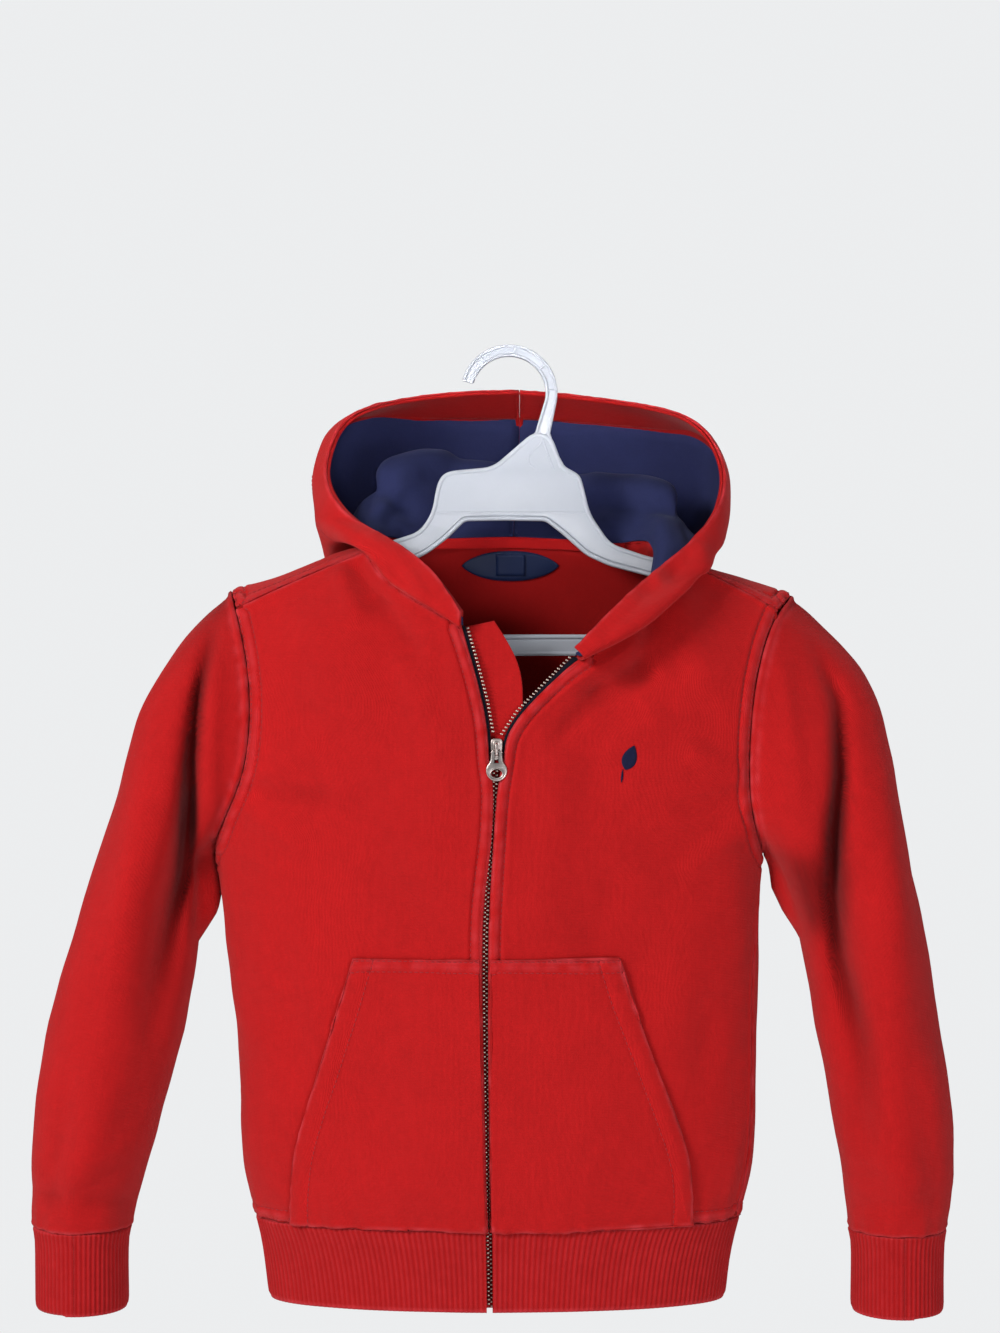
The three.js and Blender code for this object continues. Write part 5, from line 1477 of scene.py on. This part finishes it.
def calc(tree, kind, a, b=0.0, c=0.0):
    return node(tree, "Math", {0: a, 1: b, 2: c}, operation=kind).outputs[0]


def blend(tree, share, a, b):
    return node(tree, "Mix", {0: share, 6: a, 7: b}, data_type="RGBA").outputs[2]


def speckle(tree, place, scale, detail):
    return node(tree, "TexNoise", {"Vector": place, "Scale": scale, "Detail": detail}).outputs["Fac"]


def shaded(tree, colour, level):
    """A colour made lighter or darker by a level round 1."""
    return node(tree, "VectorMath", {0: colour, "Scale": level}, operation="SCALE").outputs[0]


def new_group(name, takes, gives):
    tree = bpy.data.node_groups.new(name, "ShaderNodeTree")
    for label, kind, value in takes:
        socket = tree.interface.new_socket(label, in_out="INPUT", socket_type="NodeSocket" + kind)
        if value is not None:
            socket.default_value = value
    for label, kind in gives:
        tree.interface.new_socket(label, in_out="OUTPUT", socket_type="NodeSocket" + kind)
    return tree, tree.nodes.new("NodeGroupInput").outputs, tree.nodes.new("NodeGroupOutput").inputs


# %% Knit group
tree, take, give = new_group(
    "knit",
    [("Place", "Vector", None), ("Wale", "Float", 1.25), ("Course", "Float", 0.9)],
    [("Height", "Float")])
waver = speckle(tree, take["Place"], 160.0, 2.0)
axes = node(tree, "SeparateXYZ", {0: take["Place"]}).outputs
across = calc(tree, "DIVIDE", calc(tree, "MULTIPLY", axes[0], 1000.0), take["Wale"])
across = calc(tree, "MULTIPLY_ADD", waver, 0.55, across)
up = calc(tree, "DIVIDE", calc(tree, "MULTIPLY", axes[1], 1000.0), take["Course"])
leg = calc(tree, "ABSOLUTE", calc(tree, "SUBTRACT", calc(tree, "FRACT", across), 0.5))
column = calc(tree, "SINE", calc(tree, "MULTIPLY", leg, math.pi * 2))
loops = calc(tree, "SINE", calc(tree, "MULTIPLY", calc(tree, "MULTIPLY_ADD", leg, 1.1, up), math.pi * 2))
height = calc(tree, "MULTIPLY", column, calc(tree, "MULTIPLY_ADD", loops, 0.2, 0.8))
tree.links.new(height, give["Height"])

# %% Fuzz group
tree, take, give = new_group("fuzz", [("Place", "Vector", None)], [("Height", "Float")])
fibres = speckle(tree, take["Place"], 1500.0, 3.0)
clumps = speckle(tree, take["Place"], 330.0, 3.0)
tree.links.new(calc(tree, "MULTIPLY_ADD", clumps, 1.3, calc(tree, "MULTIPLY", fibres, 0.8)), give["Height"])

# %% Dye group
tree, take, give = new_group(
    "dye",
    [("Place", "Vector", None), ("Colour", "Color", None), ("Faded", "Color", None), ("Wear", "Float", 0.0),
     ("Mottle", "Float", 0.12), ("Heather", "Float", 0.1)],
    [("Colour", "Color")])
broad = speckle(tree, take["Place"], 22.0, 3.0)
middling = speckle(tree, take["Place"], 130.0, 2.0)
fine = speckle(tree, take["Place"], 900.0, 2.0)
soft = calc(tree, "ADD", calc(tree, "SUBTRACT", broad, 0.5), calc(tree, "SUBTRACT", middling, 0.5))
level = calc(tree, "MULTIPLY_ADD", soft, take["Mottle"], 1.0)
level = calc(tree, "MULTIPLY_ADD", calc(tree, "SUBTRACT", fine, 0.5), take["Heather"], level)
patchy = calc(tree, "MULTIPLY", take["Wear"], calc(tree, "MULTIPLY_ADD", middling, 1.2, 0.35))
share = node(tree, "Clamp", {0: patchy}).outputs[0]
yarn = shaded(tree, take["Colour"], level)
tree.links.new(blend(tree, share, yarn, take["Faded"]), give["Colour"])
print("groups:", [g.name for g in bpy.data.node_groups])

# %% [markdown]
# ## Materials
# Each cloth gets its own yarn colour, knit size and depth of relief. Constants such as roughness
# and sheen stay on the shader itself. The brushed inside of the fleece shows through the `outer`
# attribute, which is 1 on the outside and 0 on the inside.


# %% Material helpers
def new_material(name, colour, rough, metal=0.0, sheen=0.0, sheen_tint=(1, 1, 1), specular=0.5):
    made = bpy.data.materials.new(name)
    made.use_nodes = True
    shader = made.node_tree.nodes["Principled BSDF"]
    shader.inputs["Base Color"].default_value = (*colour, 1)
    shader.inputs["Roughness"].default_value = rough
    shader.inputs["Metallic"].default_value = metal
    shader.inputs["Specular IOR Level"].default_value = specular
    shader.inputs["Sheen Weight"].default_value = sheen
    shader.inputs["Sheen Roughness"].default_value = 0.45
    shader.inputs["Sheen Tint"].default_value = (*sheen_tint, 1)
    return made, made.node_tree, shader


def use_group(tree, name, inputs):
    made = tree.nodes.new("ShaderNodeGroup")
    made.node_tree = bpy.data.node_groups[name]
    return feed(tree, made, inputs).outputs[0]


def bump(tree, shader, height, depth, strength=1.0):
    made = node(tree, "Bump", {"Height": height, "Strength": strength, "Distance": depth * mm})
    tree.links.new(made.outputs[0], shader.inputs["Normal"])


def read_attribute(tree, name, output="Fac"):
    return node(tree, "Attribute", attribute_name=name).outputs[output]


def cloth_material(name, colour, faded, inside, wale, course, relief, sheen=0.12, tint=(1, 0.4, 0.4)):
    """Wale and course are the knit's column and row widths in millimetres, relief its depth."""
    made, tree, shader = new_material(name, colour, 0.92, 0, sheen, tint, 0.15)
    body = node(tree, "TexCoord").outputs["Object"]
    flat = read_attribute(tree, "cloth", "Vector")
    outer = read_attribute(tree, "outer")
    loops = use_group(tree, "knit", {"Place": flat, "Wale": wale, "Course": course})
    fuzz = use_group(tree, "fuzz", {"Place": body})
    base = blend(tree, outer, (*inside, 1), (*colour, 1))
    drawn = node(tree, "Mapping", {"Vector": flat, "Scale": (1, 0.07, 1)}).outputs[0]
    streaks = speckle(tree, drawn, 700.0, 2.0)
    dyed = use_group(tree, "dye", {
        "Place": body, "Colour": base, "Faded": (*faded, 1), "Wear": read_attribute(tree, "wear"),
        "Mottle": 0.16, "Heather": 0.22})
    # Painted light and shade on the outer face: the knit's loops are made lighter on top and darker in the
    # grooves between them.
    knit_light_and_shade_share, streak_share = (calc(tree, "MULTIPLY", outer, share) for share in (0.2, 0.16))
    level = calc(tree, "MULTIPLY_ADD", calc(tree, "SUBTRACT", loops, 0.6), knit_light_and_shade_share, 1.0)
    level = calc(tree, "MULTIPLY_ADD", calc(tree, "SUBTRACT", streaks, 0.5), streak_share, level)
    # Painted shade: crease darkens the colour in deep hollows, in the sleeves' valleys and between arm and
    # body.
    level = calc(tree, "MULTIPLY_ADD", read_attribute(tree, "crease"), -0.7, level)
    tree.links.new(shaded(tree, dyed, level), shader.inputs["Base Color"])
    high = calc(tree, "MULTIPLY", loops, calc(tree, "MULTIPLY", outer, 0.75))
    bump(tree, shader, calc(tree, "MULTIPLY_ADD", fuzz, 0.55, high), relief)
    return made


# %% Cloth materials
RED, RED_FADED, RED_INSIDE = (0.50, 0.0085, 0.0095), (0.62, 0.042, 0.052), (0.27, 0.0035, 0.0035)
NAVY, NAVY_FADED = (0.0175, 0.022, 0.076), (0.028, 0.033, 0.09)
BLACKISH, BLACK_FADED = (0.007, 0.007, 0.014), (0.03, 0.03, 0.05)
RIB_RED, INNER_RED = (0.40, 0.005, 0.0055), (0.46, 0.008, 0.009)
fleece = cloth_material("red_fleece", RED, RED_FADED, RED_INSIDE, 1.25, 0.95, 0.32)
rib = cloth_material("red_rib", RIB_RED, RED_FADED, RED_INSIDE, 1.0, 0.8, 0.22)
jersey = cloth_material(
    "navy_jersey", NAVY, NAVY_FADED, NAVY, 1.0, 0.75, 0.16, sheen=0.05, tint=(0.6, 0.7, 1))
tape = cloth_material(
    "navy_tape", BLACKISH, BLACK_FADED, BLACKISH, 0.8, 1.6, 0.2, sheen=0.03, tint=(0.7, 0.7, 1))
binding = cloth_material("red_neck_tape", RED, RED_FADED, INNER_RED, 0.9, 0.8, 0.2)

# %% [markdown]
# Threads are twisted, so a fine slanting wave runs across each stitch. The label is woven satin:
# smooth, with a faint crosswise line and a soft gloss. The leaf's satin stitches lie side by side.


# %% Thread, label and leaf
def thread_material(name, colour, pitch, rough, gloss, slant=0.6, relief=0.1):
    made, tree, shader = new_material(name, colour, rough, specular=gloss)
    place = node(tree, "TexCoord").outputs["Object"]
    turned = node(tree, "Mapping", {"Vector": place, "Rotation": (0, slant, 0)}).outputs[0]
    waves = {"Vector": turned, "Scale": 314.0 / pitch, "Distortion": 0.6, "Detail": 1.0}
    strands = node(tree, "TexWave", waves, bands_direction="X").outputs["Fac"]
    level = calc(tree, "MULTIPLY_ADD", strands, 0.45, 0.7)
    tree.links.new(shaded(tree, colour, level), shader.inputs["Base Color"])
    bump(tree, shader, strands, relief)
    return made


thread = thread_material("red_thread", (0.42, 0.022, 0.028), 0.5, 0.6, 0.3)
satin = thread_material("label_satin", (0.0045, 0.013, 0.055), 0.45, 0.45, 0.25, math.pi / 2, 0.04)
embroidery = thread_material("leaf_thread", (0.010, 0.012, 0.050), 0.5, 0.5, 0.2, 0.95, 0.2)


# %% [markdown]
# Brass teeth are dull, with brighter worn tips; the slider is a grey cast alloy, rubbed paler on
# its edges. The plastic is glossy and slightly bluish, with faint scuffs in its gloss.

# %% Metal and plastic
def hard_material(name, colour, worn, rough, metal, grain, relief, specular=0.5):
    made, tree, shader = new_material(name, colour, rough, metal, specular=specular)
    place = node(tree, "TexCoord").outputs["Object"]
    spots = speckle(tree, place, grain, 4.0)
    edges = node(tree, "NewGeometry").outputs["Pointiness"]
    rubbed = node(tree, "MapRange", {0: edges, 1: 0.5, 2: 0.56}).outputs[0]
    bare = calc(tree, "MULTIPLY_ADD", spots, 0.5, calc(tree, "SUBTRACT", rubbed, 0.25))
    share = node(tree, "Clamp", {0: bare}).outputs[0]
    tree.links.new(blend(tree, share, (*colour, 1), (*worn, 1)), shader.inputs["Base Color"])
    rubbing = speckle(tree, place, grain * 0.4, 5.0)
    tree.links.new(calc(tree, "MULTIPLY_ADD", rubbing, 0.25, rough - 0.12), shader.inputs["Roughness"])
    bump(tree, shader, spots, relief)
    return made


brass = hard_material("zip_metal", (0.13, 0.09, 0.07), (0.52, 0.42, 0.36), 0.42, 1, 600, 0.05)
steel = hard_material("slider_metal", (0.13, 0.13, 0.13), (0.70, 0.60, 0.56), 0.36, 1, 500, 0.04)
plastic = hard_material("white_plastic", (0.385, 0.415, 0.47), (0.43, 0.46, 0.52), 0.34, 0, 90, 0.03)
ground = hard_material("pale_floor", (0.74, 0.74, 0.75), (0.78, 0.78, 0.79), 0.7, 0, 4, 0.2)
floor.data.materials.append(ground)

# %% [markdown]
# ## Put every piece in its place
# Each piece takes its material, hides the solid it stands for and moves with its body. Only
# the pull moves.

# %% Ride, replace and dress
FINISH = {
    "red_fleece": fleece, "red_rib": rib, "navy_jersey": jersey, "navy_tape": tape,
    "zip_metal": brass, "slider_metal": steel, "white_plastic": plastic,
}
slot_of = {part["node"]: part["material_slot"] for part in frame["record"]["subparts"]}
for node_name, obj in frame["nodes"].items():
    obj.data.materials.clear()
    obj.data.materials.append(FINISH[slot_of[node_name]])


def dress(piece, finish, body="garment", stands_for=None):
    piece.data.materials.clear()
    piece.data.materials.append(finish)
    if stands_for:
        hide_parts(stands_for)
    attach(piece, body)


for name, obj in panels.items():
    own = {"neck_tape": binding}.get(name, FINISH[slot_of[name]])
    dress(obj, own, stands_for=name)
for name, row in zip_rows.items():
    dress(row, brass, stands_for=name)
dress(hanger, plastic, stands_for="hanger")
dress(slider, steel, stands_for="zip_slider")
dress(pull, steel, "zip_pull", "zip_pull")
for name, row in rows_of.items():
    dress(row, thread)
dress(leaf, embroidery)
dress(size_tab, satin)
dress(label, satin, stands_for="neck_label")
for name, roll in rolls.items():
    dress(roll, FINISH[slot_of[name]])

# %% [markdown]
# Every cloth piece is a sheet that was cut flat before it was sewn. The scratch pieces are
# removed, and the triangles of all meshes are counted.

# %% Remove the scratch pieces and count the triangles
for scratch in (stitch, tooth, *hood_rims.values()):
    bpy.data.objects.remove(scratch)
total = sum(len(p.vertices) - 2 for o in bpy.data.objects if o.type == "MESH" for p in o.data.polygons)
print("triangles in all:", total)
